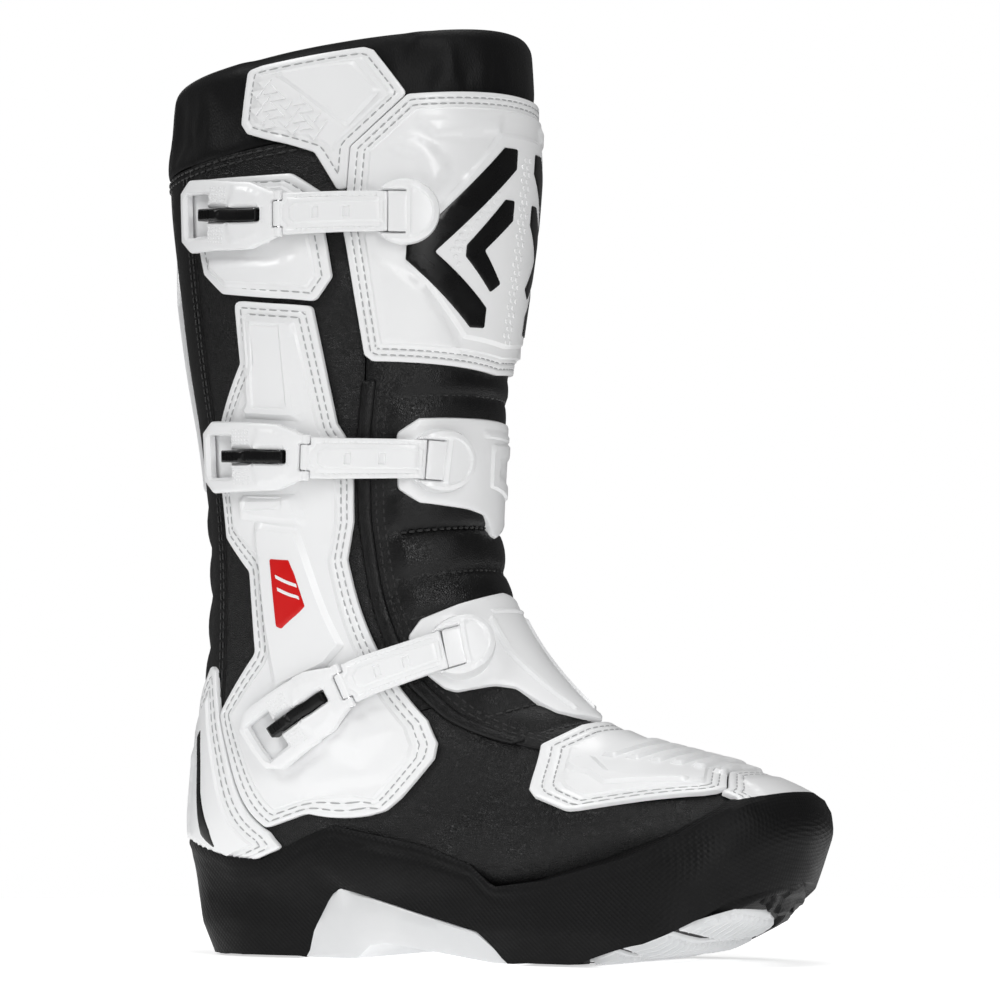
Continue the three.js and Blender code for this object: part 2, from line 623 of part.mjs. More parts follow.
class Strip {
  constructor(points) {
    const curve = new THREE.SplineCurve(points.map(([a, b]) => new THREE.Vector2(a, b)));
    this.stations = curve.getPoints(160);
    this.lengths = [0];
    for (let k = 1; k < this.stations.length; k++) {
      const [p, q] = [this.stations[k - 1], this.stations[k]];
      this.lengths.push(this.lengths[k - 1] + skinPoint(p.x, p.y).distanceTo(skinPoint(q.x, q.y)));
    }
    this.length = this.lengths.at(-1);
  }

  // Turn and level at a distance along the strip; beyond its ends it runs straight on.
  at(s) {
    const past = this.lengths.findIndex((value) => value > s);
    const k = past < 0 ? this.lengths.length - 1 : Math.max(past, 1);
    const t = (s - this.lengths[k - 1]) / (this.lengths[k] - this.lengths[k - 1]);
    return this.stations[k - 1].clone().lerp(this.stations[k], t);
  }

  frame(s) {
    const here = this.at(s);
    const ahead = this.at(s + 2);
    const behind = this.at(s - 2);
    const along = skinPoint(ahead.x, ahead.y).sub(skinPoint(behind.x, behind.y));
    const out = skinNormal(here.x, here.y);
    along.addScaledVector(out, -along.dot(out)).normalize();
    const across = along.clone().cross(out);
    return { here, point: skinPoint(here.x, here.y), along, across, out };
  }

  // A point at a distance along, a distance across and a lift, following the skin both ways.
  place(s, t, lift) {
    const { here, point, across } = this.frame(s);
    const [turnStep, levelStep] = [0.5, 0.5];
    const byTurn = skinPoint(here.x + turnStep, here.y).sub(point).divideScalar(turnStep);
    const byLevel = skinPoint(here.x, here.y + levelStep).sub(point).divideScalar(levelStep);
    const [aa, ab, bb] = [byTurn.dot(byTurn), byTurn.dot(byLevel), byLevel.dot(byLevel)];
    const [ra, rb] = [byTurn.dot(across), byLevel.dot(across)];
    const det = aa * bb - ab * ab;
    const turn = here.x + (t * (ra * bb - rb * ab)) / det;
    const level = here.y + (t * (rb * aa - ra * ab)) / det;
    return lifted(turn, level, lift);
  }

  slab(outline, inner, outer, holes = []) {
    const us = steps(8, Math.min(...outline.map(([s]) => s)), Math.max(...outline.map(([s]) => s)));
    const half = Math.max(...outline.map(([, t]) => Math.abs(t))) + 1;
    return sheet(outline, holes, inner, outer, us, [-half, 0, half], (s, t, lift) => this.place(s, t, lift));
  }

  // A round bar across the strip.
  bar(s, lift, radius, from, to, sides = 12) {
    const { point, across, out } = this.frame(s);
    const geometry = new THREE.CylinderGeometry(radius, radius, to - from, sides);
    geometry.translate(0, (from + to) / 2, 0);
    geometry.applyQuaternion(new THREE.Quaternion().setFromUnitVectors(new THREE.Vector3(0, 1, 0), across));
    geometry.translate(...point.clone().addScaledVector(out, lift).toArray());
    return solidOf(geometry);
  }
}

const rectangle = (s0, s1, t0, t1) => [[s0, t0], [s1, t0], [s1, t1], [s0, t1]];

function closure(key) {
  const strip = new Strip(CLOSURES[key]);
  const [pad, backing] = [PAD[key], BACKING[key]];
  const baseFloor = backing + RIDE;
  const baseTop = baseFloor + BASE_THICK;
  const leverFloor = baseTop + 1.1;
  const leverTop = leverFloor + LEVER_THICK;
  const axis = (leverFloor + leverTop) / 2;
  const pinAt = strip.length - LEVER_LENGTH;
  const group = new THREE.Group();
  group.add(
    disc(key, strip, pad, axis),
    strap(key, strip, axis, pinAt),
    pin("buckle_pin", key, strip, pinAt, axis, BUCKLE_PIN_RADIUS, LEVER_NECK),
    lever(key, strip, leverFloor, leverTop, axis, pinAt),
    pin("latch_pin", key, strip, pinAt + LATCH_FROM + 2.5, axis, LATCH_PIN_RADIUS, LATCH_PIN_LENGTH),
    latch(key, strip, axis, pinAt, baseTop),
    base(key, strip, baseFloor, baseTop, pinAt, axis),
  );
  return group;
}

function disc(key, strip, pad, axis) {
  const { point, along, across, out } = strip.frame(0);
  const floor = pad + DISC_RIDE;
  const top = Math.max(floor + DISC_HEIGHT, axis + STRAP_THICK);
  const edge = 1.2;
  const profile = [[0, floor], [DISC_RADIUS - edge, floor], [DISC_RADIUS, floor + edge], [DISC_RADIUS, top - edge],
    [DISC_RADIUS - edge, top], [0, top]];
  const puck = new THREE.LatheGeometry(profile.map(([r, z]) => new THREE.Vector2(r, z)), 28);
  const turn = new THREE.Matrix4().makeBasis(along, out, across);
  puck.applyMatrix4(turn).translate(...point.toArray());
  const half = STRAP_WIDTH / 2 + 2 * SLIP;
  const mouth = strip.slab(rectangle(MOUTH_AT - 3.2, DISC_RADIUS + 6, -half, half), floor + DISC_FLOOR, top + 8);
  return meshOf(`adjuster_disc_${key}`, "white_tpu", solidOf(puck).subtract(mouth));
}

function strap(key, strip, axis, pinAt) {
  const half = STRAP_WIDTH / 2;
  const knuckle = LEVER_NECK / 2 - 4.5;
  const shoulder = pinAt - 7.5;
  const outline = [
    [MOUTH_AT, -half], [shoulder - 3, -half], [shoulder, -knuckle], [pinAt, -knuckle],
    [pinAt, knuckle], [shoulder, knuckle], [shoulder - 3, half], [MOUTH_AT, half],
  ];
  const band = strip
    .slab(outline, axis - STRAP_THICK / 2, axis + STRAP_THICK / 2)
    .add(strip.bar(MOUTH_AT, axis, STRAP_THICK * 0.75, -half, half))
    .add(strip.bar(pinAt, axis, BARREL_RADIUS, -knuckle, knuckle))
    .subtract(strip.bar(pinAt, axis, BUCKLE_PIN_RADIUS + FIT, -half, half));
  return meshOf(`strap_${key}`, "white_tpu", band);
}

function lever(key, strip, floor, top, axis, pinAt) {
  const [neck, half] = [LEVER_NECK / 2, LEVER_WIDTH / 2];
  const fork = neck - 4.5 + SLIP;
  const end = pinAt + LEVER_LENGTH;
  const outline = [
    [pinAt, -neck], [pinAt + 8, -neck], [pinAt + 14, -half + 1.5], [end - 4, -half], [end, -half + 4],
    [end, half - 4], [end - 4, half], [pinAt + 14, half - 1.5], [pinAt + 8, neck], [pinAt, neck],
    [pinAt, fork], [pinAt + BARREL_RADIUS + SLIP, fork], [pinAt + BARREL_RADIUS + SLIP, -fork], [pinAt, -fork],
  ];
  const slot = LATCH_WIDTH / 2 + SLIP;
  const slotFrom = pinAt + LATCH_FROM - 1.5;
  const holes = [
    rectangle(slotFrom, pinAt + LATCH_FROM + LATCH_LENGTH + 1.2 * SLIP, -slot, slot).reverse(),
    rectangle(end - WINDOW.rim - WINDOW.length, end - WINDOW.rim, -WINDOW.width / 2, WINDOW.width / 2).reverse(),
  ];
  let body = strip.slab(outline, floor, top, holes);
  for (const side of [-1, 1]) {
    const [from, to] = [side * fork, side * neck].sort((a, b) => a - b);
    body = body.add(strip.bar(pinAt, axis, BARREL_RADIUS, from, to));
  }
  body = body
    .subtract(strip.bar(pinAt, axis, BUCKLE_PIN_RADIUS + FIT, -half, half))
    .subtract(
      strip.bar(
        pinAt + LATCH_FROM + 2.5, axis, LATCH_PIN_RADIUS + FIT, -LATCH_PIN_LENGTH / 2 - FIT, LATCH_PIN_LENGTH / 2 + FIT,
      ),
    );
  return meshOf(`buckle_lever_${key}`, "white_tpu", body);
}

function latch(key, strip, axis, pinAt, baseTop) {
  const half = LATCH_WIDTH / 2;
  const from = pinAt + LATCH_FROM;
  const to = from + LATCH_LENGTH;
  const bottom = axis - 1.4;
  const body = strip
    .slab(rectangle(from, to, -half, half), bottom, bottom + LATCH_THICK)
    .add(strip.slab(rectangle(to - HOOK_LENGTH, to, -half, half), baseTop + SLIP, bottom + 1))
    .subtract(strip.bar(from + 2.5, axis, LATCH_PIN_RADIUS + FIT, -half - 1, half + 1));
  return meshOf(`latch_${key}`, "black_plastic", body);
}

function base(key, strip, floor, top, pinAt, axis) {
  const half = LEVER_WIDTH / 2 - 4;
  const from = pinAt + BARREL_RADIUS + 3;
  const to = pinAt + LEVER_LENGTH - WINDOW.rim - WINDOW.length - 1;
  const hookAt = pinAt + LATCH_FROM + LATCH_LENGTH - HOOK_LENGTH;
  const tooth = LATCH_WIDTH / 2 - 0.2;
  const body = strip
    .slab(rectangle(from, to, -half, half), floor, top)
    .add(strip.slab(rectangle(hookAt - 0.5 - HOOK_LENGTH, hookAt - 0.5, -tooth, tooth), floor, axis - 1.4 - SLIP));
  return meshOf(`buckle_base_${key}`, "white_tpu", body);
}

function pin(kind, key, strip, s, lift, radius, length) {
  const { point, across, out } = strip.frame(s);
  const geometry = new THREE.CylinderGeometry(radius, radius, length, 12);
  const mesh = new THREE.Mesh(geometry, new THREE.MeshStandardMaterial(COLOURS.steel));
  mesh.name = `${kind}_${key}`;
  mesh.position.copy(point).addScaledVector(out, lift);
  mesh.quaternion.setFromUnitVectors(new THREE.Vector3(0, 1, 0), across);
  return mesh;
}

const boot = new THREE.Group();
boot.name = "riding_boot";
boot.add(...sole(), ...lining(), ...upper(), ...plates());
for (const key of Object.keys(CLOSURES)) boot.add(closure(key));

export default boot;
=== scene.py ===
import math

import bpy
import numpy as np
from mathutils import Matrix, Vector
from mathutils.geometry import delaunay_2d_cdt
from mathutils.kdtree import KDTree


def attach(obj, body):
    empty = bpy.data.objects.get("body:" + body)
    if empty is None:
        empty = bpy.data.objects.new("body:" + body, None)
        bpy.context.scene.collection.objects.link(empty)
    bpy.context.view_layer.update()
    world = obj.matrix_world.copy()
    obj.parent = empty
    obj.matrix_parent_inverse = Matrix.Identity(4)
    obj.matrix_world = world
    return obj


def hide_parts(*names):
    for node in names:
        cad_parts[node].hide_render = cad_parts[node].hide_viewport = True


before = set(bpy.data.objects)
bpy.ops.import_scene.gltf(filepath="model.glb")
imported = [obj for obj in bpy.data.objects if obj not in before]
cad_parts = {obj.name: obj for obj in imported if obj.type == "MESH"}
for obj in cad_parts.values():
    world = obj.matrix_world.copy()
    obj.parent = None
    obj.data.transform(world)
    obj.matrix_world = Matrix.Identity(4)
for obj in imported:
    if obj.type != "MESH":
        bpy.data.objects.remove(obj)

# Off-road riding boot, right foot. Lengths below are millimetres unless a name says otherwise, and each
# piece is written to Blender in metres. A place on the boot is a turn (degrees, 0 front or top, 90 buckle
# side, 180 back or underside), a level (height on the shaft, running on below 0 to the toe) and a lift.
MM = 0.001
BODY = "boot"
PLATE_FLOOR, PLATE_THICK = 0.3, 2.5
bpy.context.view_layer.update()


# ---------------------------------------------------------------- camera, light, stage (metres)
CAMERA_TURN, CAMERA_DISTANCE, CAMERA_LENS, CAMERA_SENSOR = math.radians(30), 1.8, 145.8, 36
CAMERA_PIVOT, AIM_RIGHT, AIM_UP = (0.037, 0, 0.085), 0.0358, 0.0644
LIGHT_AIM = (0.08, 0, 0.2)
LIGHTS = {  # place, size, power
    "key": ((-0.9, -1.4, 1.6), (0.8, 0.8), 18),
    "toe_side": ((1.5, -1.2, 0.8), (0.35, 1.3), 14),
    "rim": ((-1.0, 1.2, 1.1), (0.5, 1.2), 3),
    "overhead": ((0.3, 0.1, 1.9), (1.2, 0.7), 11),
}
WORLD_LIGHT, FLOOR_GLOW, FLOOR_RADIUS, FLOOR_DROP = 0.12, 0.6, 0.8, 0.0006


def added(name, data):
    made = bpy.data.objects.new(name, data)
    bpy.context.collection.objects.link(made)
    return made


def placed(made, place, towards):
    made.location = place
    made.rotation_mode = "QUATERNION"
    made.rotation_quaternion = towards.to_track_quat("-Z", "Y")


def camera():
    """The viewpoint: 30 degrees round towards the toe, low, and far away."""
    data = bpy.data.cameras.new("camera")
    data.sensor_width, data.lens = CAMERA_SENSOR, CAMERA_LENS
    data.clip_start, data.clip_end = 0.05, 20
    right = Vector((math.cos(CAMERA_TURN), math.sin(CAMERA_TURN), 0))
    ahead = Vector((-math.sin(CAMERA_TURN), math.cos(CAMERA_TURN), 0))
    cam = added("camera", data)
    placed(cam, Vector(CAMERA_PIVOT) - CAMERA_DISTANCE * ahead, ahead + right * AIM_RIGHT + Vector((0, 0, AIM_UP)))
    bpy.context.scene.camera = cam


def studio():
    """Pale world, four soft lamps, and a round white floor."""
    world = bpy.data.worlds.new("studio")
    world.use_nodes = True
    tree = world.node_tree
    soft, paper = tree.nodes["Background"], tree.nodes.new("ShaderNodeBackground")
    soft.inputs["Strength"].default_value = WORLD_LIGHT
    for background in (soft, paper):
        background.inputs["Color"].default_value = (1, 1, 1, 1)
    seen, mix = tree.nodes.new("ShaderNodeLightPath"), tree.nodes.new("ShaderNodeMixShader")
    tree.links.new(seen.outputs["Is Camera Ray"], mix.inputs[0])
    tree.links.new(soft.outputs[0], mix.inputs[1])
    tree.links.new(paper.outputs[0], mix.inputs[2])
    tree.links.new(mix.outputs[0], tree.nodes["World Output"].inputs["Surface"])
    bpy.context.scene.world = world
    bpy.context.scene.view_settings.view_transform = "Standard"
    for name, (place, size, power) in LIGHTS.items():
        data = bpy.data.lights.new(name, "AREA")
        data.shape, data.energy = "RECTANGLE", power
        data.size, data.size_y = size
        placed(added(name, data), place, Vector(LIGHT_AIM) - Vector(place))
    around = [math.radians(a) for a in range(0, 360, 5)]
    rim = [(FLOOR_RADIUS * math.cos(a) + 0.1, FLOOR_RADIUS * math.sin(a), 0) for a in around]
    mesh = bpy.data.meshes.new("floor")
    mesh.from_pydata(rim, [], [range(len(rim))])
    floor = added("floor", mesh)
    floor.location.z = -FLOOR_DROP
    paper_floor = Shader("floor_paper", (0.9, 0.9, 0.9), 0.9)
    paper_floor.out.inputs["Emission Color"].default_value = (1, 1, 1, 1)
    paper_floor.out.inputs["Emission Strength"].default_value = FLOOR_GLOW
    mesh.materials.append(paper_floor.material)


# ---------------------------------------------------------------- materials
class Shader:
    """A Principled material that is put together node by node."""

    def __init__(self, name, color, roughness, metallic=0.0, coat=0.0, sheen=0.0, specular=0.5):
        self.material = bpy.data.materials.new(name)
        self.material.use_nodes = True
        self.tree = self.material.node_tree
        self.out = self.tree.nodes["Principled BSDF"]
        for key, value in {
            "Base Color": (*color, 1), "Roughness": roughness, "Metallic": metallic, "Coat Weight": coat,
            "Coat Roughness": 0.08, "Sheen Weight": sheen, "Specular IOR Level": specular,
        }.items():
            self.out.inputs[key].default_value = value
        self.place = self.node("ShaderNodeTexCoord", {}).outputs["Object"]
        self.height = None

    def node(self, kind, sockets, **settings):
        """A node with its settings made, and its sockets linked or set."""
        made = self.tree.nodes.new(kind)
        for key, value in settings.items():
            setattr(made, key, value)
        for key, value in sockets.items():
            if isinstance(value, bpy.types.NodeSocket):
                self.tree.links.new(value, made.inputs[key])
            else:
                made.inputs[key].default_value = value
        return made

    def mapped(self, **sockets):
        return self.node("ShaderNodeMapping", {"Vector": self.place, **sockets}).outputs["Vector"]

    def noise(self, scale, detail=3.0, stretch=(1, 1, 1)):
        sockets = {"Vector": self.mapped(Scale=stretch), "Scale": scale, "Detail": detail}
        return self.node("ShaderNodeTexNoise", sockets).outputs["Fac"]

    def cells(self, scale, feature="DISTANCE_TO_EDGE", stretch=(1, 1, 1)):
        sockets = {"Vector": self.mapped(Scale=stretch), "Scale": scale}
        return self.node("ShaderNodeTexVoronoi", sockets, feature=feature).outputs["Distance"]

    def knurl(self, scale):
        """A square lattice of small domes, turned a little to every axis."""
        place = self.mapped(Rotation=(0.3, math.radians(45), 0.3))
        sockets = {"Vector": place, "Scale": scale, "Randomness": 0}
        return self.node("ShaderNodeTexVoronoi", sockets, feature="F1").outputs["Distance"]

    def ramp(self, value, low, high, to_low, to_high):
        sockets = {"Value": value, "From Min": low, "From Max": high, "To Min": to_low, "To Max": to_high}
        return self.node("ShaderNodeMapRange", sockets).outputs["Result"]

    def roughen(self, value, low, high, to_low, to_high):
        self.tree.links.new(self.ramp(value, low, high, to_low, to_high), self.out.inputs["Roughness"])

    def tint(self, value, low, high, first, second):
        sockets = {0: self.ramp(value, low, high, 0, 1), 6: (*first, 1), 7: (*second, 1)}
        mix = self.node("ShaderNodeMix", sockets, data_type="RGBA")
        self.tree.links.new(mix.outputs[2], self.out.inputs["Base Color"])

    def bump(self, value, strength, depth):
        sockets = {"Strength": strength, "Distance": depth * MM, "Height": value}
        if self.height is not None:
            sockets["Normal"] = self.height
        self.height = self.node("ShaderNodeBump", sockets).outputs["Normal"]
        self.tree.links.new(self.height, self.out.inputs["Normal"])


def white_tpu():
    made = Shader("white_tpu", (0.86, 0.865, 0.87), 0.34, coat=0.12)
    made.roughen(made.noise(45, 4), 0.35, 0.7, 0.28, 0.42)
    made.tint(made.noise(9, 3), 0.3, 0.7, (0.84, 0.845, 0.852), (0.885, 0.888, 0.89))
    made.bump(made.noise(420, 2), 0.12, 0.05)
    return made.material


def black_leather(name="black_leather", grain=1.0, gloss=0.42):
    made = Shader(name, (0.0035, 0.0035, 0.0037), gloss, specular=0.3)
    made.roughen(made.noise(60, 4), 0.3, 0.7, gloss - 0.07, gloss + 0.12)
    made.tint(made.noise(14, 3), 0.3, 0.7, (0.0022, 0.0022, 0.0024), (0.0048, 0.0048, 0.005))
    made.bump(made.noise(120, 3), 0.12, 0.5)
    made.bump(made.cells(1050), 1.0 * grain, 0.5)
    return made.material


def black_textile():
    made = Shader("black_textile", (0.0035, 0.0035, 0.0038), 0.5, sheen=0.02, specular=0.18)
    made.tint(made.noise(30, 4), 0.3, 0.7, (0.0024, 0.0024, 0.0027), (0.005, 0.005, 0.0053))
    made.bump(made.cells(1500, "F1", (1, 1, 0.55)), 0.5, 0.2)
    made.bump(made.noise(70, 3), 0.4, 0.9)
    return made.material


def black_rubber():
    made = Shader("black_rubber", (0.0032, 0.0032, 0.0034), 0.5, specular=0.16)
    made.roughen(made.noise(40, 4), 0.3, 0.7, 0.42, 0.62)
    made.tint(made.noise(22, 4), 0.3, 0.72, (0.0024, 0.0024, 0.0026), (0.0045, 0.0045, 0.0047))
    made.bump(made.noise(900, 2), 0.4, 0.12)
    made.bump(made.knurl(620), 0.7, 0.35)
    return made.material


def black_plastic():
    made = Shader("black_plastic", (0.004, 0.004, 0.0042), 0.3, coat=0.05, specular=0.3)
    made.roughen(made.noise(90, 3), 0.3, 0.7, 0.22, 0.36)
    made.bump(made.noise(900, 2), 0.2, 0.05)
    return made.material


def white_rubber():
    made = Shader("white_rubber", (0.66, 0.67, 0.68), 0.42, coat=0.05)
    made.roughen(made.noise(50, 4), 0.3, 0.7, 0.3, 0.48)
    made.tint(made.noise(18, 4), 0.3, 0.7, (0.6, 0.61, 0.62), (0.7, 0.705, 0.71))
    made.bump(made.noise(600, 2), 0.2, 0.08)
    return made.material


def steel():
    made = Shader("steel", (0.6, 0.6, 0.61), 0.28, metallic=1.0)
    made.roughen(made.noise(300, 3, stretch=(1, 1, 0.1)), 0.3, 0.7, 0.2, 0.4)
    made.bump(made.noise(900, 2), 0.1, 0.03)
    return made.material


def grey_board():
    made = Shader("grey_board", (0.33, 0.32, 0.3), 0.85)
    made.tint(made.noise(70, 4), 0.3, 0.7, (0.28, 0.27, 0.25), (0.38, 0.37, 0.35))
    made.bump(made.noise(500, 3), 0.4, 0.2)
    return made.material


def thread(name, color):
    made = Shader(name, color, 0.6, sheen=0.2)
    made.bump(made.noise(2500, 2), 0.4, 0.1)
    return made.material


def red_label():
    made = Shader("red_label", (0.6, 0.0, 0.0), 0.4)
    made.roughen(made.noise(80, 3), 0.3, 0.7, 0.33, 0.46)
    return made.material


LOOKS = {
    "white_tpu": white_tpu(),
    "black_leather": black_leather(),
    "smooth_leather": black_leather("smooth_leather", 0.5, 0.36),
    "black_textile": black_textile(),
    "black_rubber": black_rubber(),
    "black_plastic": black_plastic(),
    "white_rubber": white_rubber(),
    "steel": steel(),
    "grey_board": grey_board(),
    "grey_thread": thread("grey_thread", (0.42, 0.425, 0.43)),
    "black_thread": thread("black_thread", (0.006, 0.006, 0.006)),
    "red_label": red_label(),
}


# ---------------------------------------------------------------- the skin of the boot
# Level, front x and z, back x and z, half width, middle y, squareness in front and behind.
SECTIONS = np.array([
    (410, 117, 406, -46, 388, 61, 0, 2.15, 2.15),
    (370, 119, 370, -51, 352, 62, 0, 2.15, 2.15),
    (320, 116, 322, -47, 308, 61, 0, 2.15, 2.15),
    (270, 109, 273, -41, 262, 57, 0, 2.15, 2.15),
    (225, 103, 229, -33, 218, 53, 0, 2.15, 2.2),
    (185, 102, 190, -29, 172, 49, 0, 2.15, 2.3),
    (150, 108, 158, -30, 128, 47, 0, 2.1, 2.4),
    (115, 124, 131, -34, 84, 45, 0, 2.1, 2.6),
    (80, 149, 106, -34, 44, 44, 0, 2.1, 2.8),
    (45, 175, 92, -8, 26, 46, 1, 2.15, 3.2),
    (5, 200, 85, 58, 23, 50, 2, 2.2, 3.4),
    (-35, 223, 79, 124, 22, 53, 4, 2.3, 3.4),
    (-70, 241, 72, 183, 28, 49, 7, 2.3, 3.0),
    (-95, 252, 65, 223, 37, 36, 9, 2.2, 2.5),
    (-106, 257, 57, 246, 46, 18, 10, 2.0, 2.0),
], float)[::-1]
TOE_TIP, COLLAR_TOP = SECTIONS[0, 0], SECTIONS[-1, 0]


def section(level):
    """The section's eight values at each level, blended smoothly between its neighbours."""
    levels, forms = SECTIONS[:, 0], SECTIONS[:, 1:]
    at = np.clip(level, levels[0], levels[-1])
    i = np.clip(np.searchsorted(levels, at) - 1, 0, len(levels) - 2)
    low = np.maximum(np.arange(len(levels)) - 1, 0)
    high = np.minimum(np.arange(len(levels)) + 1, len(levels) - 1)
    slope = (forms[high] - forms[low]) / (levels[high] - levels[low])[:, None]
    span = (levels[i + 1] - levels[i])[..., None]
    t = (at[..., None] - levels[i][..., None]) / span
    return (
        (2 * t**3 - 3 * t**2 + 1) * forms[i]
        + (t**3 - 2 * t**2 + t) * span * slope[i]
        + (3 * t**2 - 2 * t**3) * forms[i + 1]
        + (t**3 - t**2) * span * slope[i + 1]
    )


def skin_point(turn, level):
    turn, level = np.broadcast_arrays(np.asarray(turn, float), np.asarray(level, float))
    fx, fz, bx, bz, width, middle, front, back = np.moveaxis(section(level), -1, 0)
    c, s = np.cos(np.radians(turn)), np.sin(np.radians(turn))
    power = 2 / np.where(c > 0, front, back)
    u, v = np.sign(c) * np.abs(c) ** power, np.sign(s) * np.abs(s) ** power
    return np.stack([(fx + bx) / 2 + (fx - bx) / 2 * u, middle - width * v, (fz + bz) / 2 + (fz - bz) / 2 * u], -1)


def skin_normal(turn, level):
    up = skin_point(turn, np.minimum(level + 1.0, COLLAR_TOP)) - skin_point(turn, np.maximum(level - 1.0, TOE_TIP))
    around = skin_point(turn + 1.0, level) - skin_point(turn - 1.0, level)
    out = np.cross(up, around)
    return out / np.maximum(np.linalg.norm(out, axis=-1, keepdims=True), 1e-9)


def skin(turn, level, lift=0.0):
    turn, level = np.broadcast_arrays(np.asarray(turn, float), np.asarray(level, float))
    return skin_point(turn, level) + skin_normal(turn, level) * np.asarray(lift, float)[..., None]


# ---------------------------------------------------------------- charts: flat sheets that wrap on the boot
class Chart:
    """A flat sheet in millimetres; scale is its millimetres for each unit of the places drawn on it."""

    scale = np.array([1.0, 1.0])

    def draw(self, points):
        return np.asarray(points, float) * self.scale


class SkinChart(Chart):
    """A sheet over a stretch of the skin: along is mm per degree, up is mm per level."""

    def __init__(self, along, up):
        self.scale = np.array([along, up])

    def at(self, uv, lift):
        turn, level = (uv / self.scale).T
        return skin(turn, level, np.broadcast_to(lift, turn.shape))


def turns_left(loop):
    x, y = np.asarray(loop, float).T
    return np.sum(x * np.roll(y, -1) - np.roll(x, -1) * y) > 0


def twice_areas(flat, faces):
    a, b, c = (flat[faces[:, k]] for k in range(3))
    return (b - a)[:, 0] * (c - a)[:, 1] - (b - a)[:, 1] * (c - a)[:, 0]


def through(a, b, c, d, w):
    """The smooth curve from b to c at shares w, on its way from a to d."""
    v0, v1 = (c - a) / 2, (d - b) / 2
    return (2 * b - 2 * c + v0 + v1) * w**3 + (3 * c - 3 * b - 2 * v0 - v1) * w**2 + v0 * w + b


def closest(points, loop):
    """The distance of each point to a closed loop."""
    best = np.full(len(points), 1e9)
    for p, q in zip(loop, np.roll(loop, -1, 0)):
        d = q - p
        t = np.clip((points - p) @ d / max(d @ d, 1e-12), 0, 1)
        best = np.minimum(best, np.hypot(*(points - p - t[:, None] * d).T))
    return best


def inside(points, loop):
    """True for each point inside a closed loop."""
    x, y = points.T
    found = np.zeros(len(points), bool)
    for (x0, y0), (x1, y1) in zip(loop, np.roll(loop, -1, 0)):
        if y0 != y1:
            crosses = (y0 > y) != (y1 > y)
            found ^= crosses & (x < (x1 - x0) * (y - y0) / (y1 - y0) + x0)
    return found


def depth(points, loop):
    """How far each point is inside a closed loop; negative outside it."""
    return np.where(inside(points, loop), 1, -1) * closest(points, loop)


def rounded(points, radius):
    """A polygon with its corners rounded."""
    points = np.asarray(points, float)
    out = []
    for before, here, after in zip(np.roll(points, 1, 0), points, np.roll(points, -1, 0)):
        a, b = before - here, after - here
        la, lb = np.hypot(*a), np.hypot(*b)
        if radius <= 0 or min(la, lb) < 1e-6:
            out.append(here)
            continue
        half = math.acos(np.clip(a @ b / (la * lb), -1, 1)) / 2
        cut = min(radius / max(math.tan(half), 1e-3), 0.45 * la, 0.45 * lb)
        p, q = here + a / la * cut, here + b / lb * cut
        out += [(1 - t) ** 2 * p + 2 * t * (1 - t) * here + t**2 * q for t in (0, 0.25, 0.5, 0.75, 1)]
    return np.array(out)


def resample(points, step):
    """Points at an even spacing along a closed loop, which keep its corners."""
    out = []
    for p, q in zip(points, np.roll(points, -1, 0)):
        n = max(1, int(math.ceil(np.hypot(*(q - p)) / step)))
        out += [p + (q - p) * k / n for k in range(n)]
    return np.array(out)


def inset(loop, by):
    """A closed loop moved inwards, without the points that would cross to another side."""
    tangent = np.roll(loop, -1, 0) - np.roll(loop, 1, 0)
    tangent /= np.maximum(np.hypot(*tangent.T), 1e-9)[:, None]
    normal = np.stack([-tangent[:, 1], tangent[:, 0]], 1) * (1 if turns_left(loop) else -1)
    moved = loop + normal * by
    return moved[depth(moved, loop) > 0.93 * by]


# ---------------------------------------------------------------- meshes
def piece(name, points, faces, look, body=BODY, sharp=32, node=None):
    """A Blender object of millimetre points that rides on a CAD body."""
    mesh = bpy.data.meshes.new(name)
    mesh.from_pydata((np.asarray(points) * MM).tolist(), [], [list(f) for f in faces])
    mesh.validate()
    mesh.materials.append(LOOKS[look])
    mesh.shade_smooth()
    mesh.set_sharp_from_angle(angle=math.radians(sharp))
    made = added(name, mesh)
    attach(made, body)
    if node:
        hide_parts(*([node] if isinstance(node, str) else node))
    return made


def triangles_in(loops, guides, spacing):
    """Sheet points and triangles inside the first loop and outside the others, with edges on all the guides."""
    outer, *gaps = loops
    low, high = outer.min(0), outer.max(0)
    grid = []
    for k, y in enumerate(np.arange(low[1], high[1], spacing * 0.866)):
        across = np.arange(low[0] + (k % 2) * spacing / 2, high[0], spacing)
        grid.append(np.column_stack([across, np.full(len(across), y)]))
    grid = np.concatenate(grid)
    grid = grid[depth(grid, outer) > 0.5 * spacing]
    for line in [*gaps, *guides]:
        grid = grid[closest(grid, line) > 0.5 * spacing]
    points, edges = [], []
    for line in [*loops, *guides]:
        start = len(points)
        points += line.tolist()
        edges += [(start + k, start + (k + 1) % len(line)) for k in range(len(line))]
    points += grid.tolist()
    found = delaunay_2d_cdt([Vector(p) for p in points], edges, [], 0, 1e-4)
    flat = np.array([tuple(v) for v in found[0]])
    faces = np.array(found[2])
    centre = flat[faces].mean(1)
    keep = inside(centre, outer)
    for gap in gaps:
        keep &= ~inside(centre, gap)
    keep &= np.abs(twice_areas(flat, faces)) > 1e-7
    return flat, faces[keep]


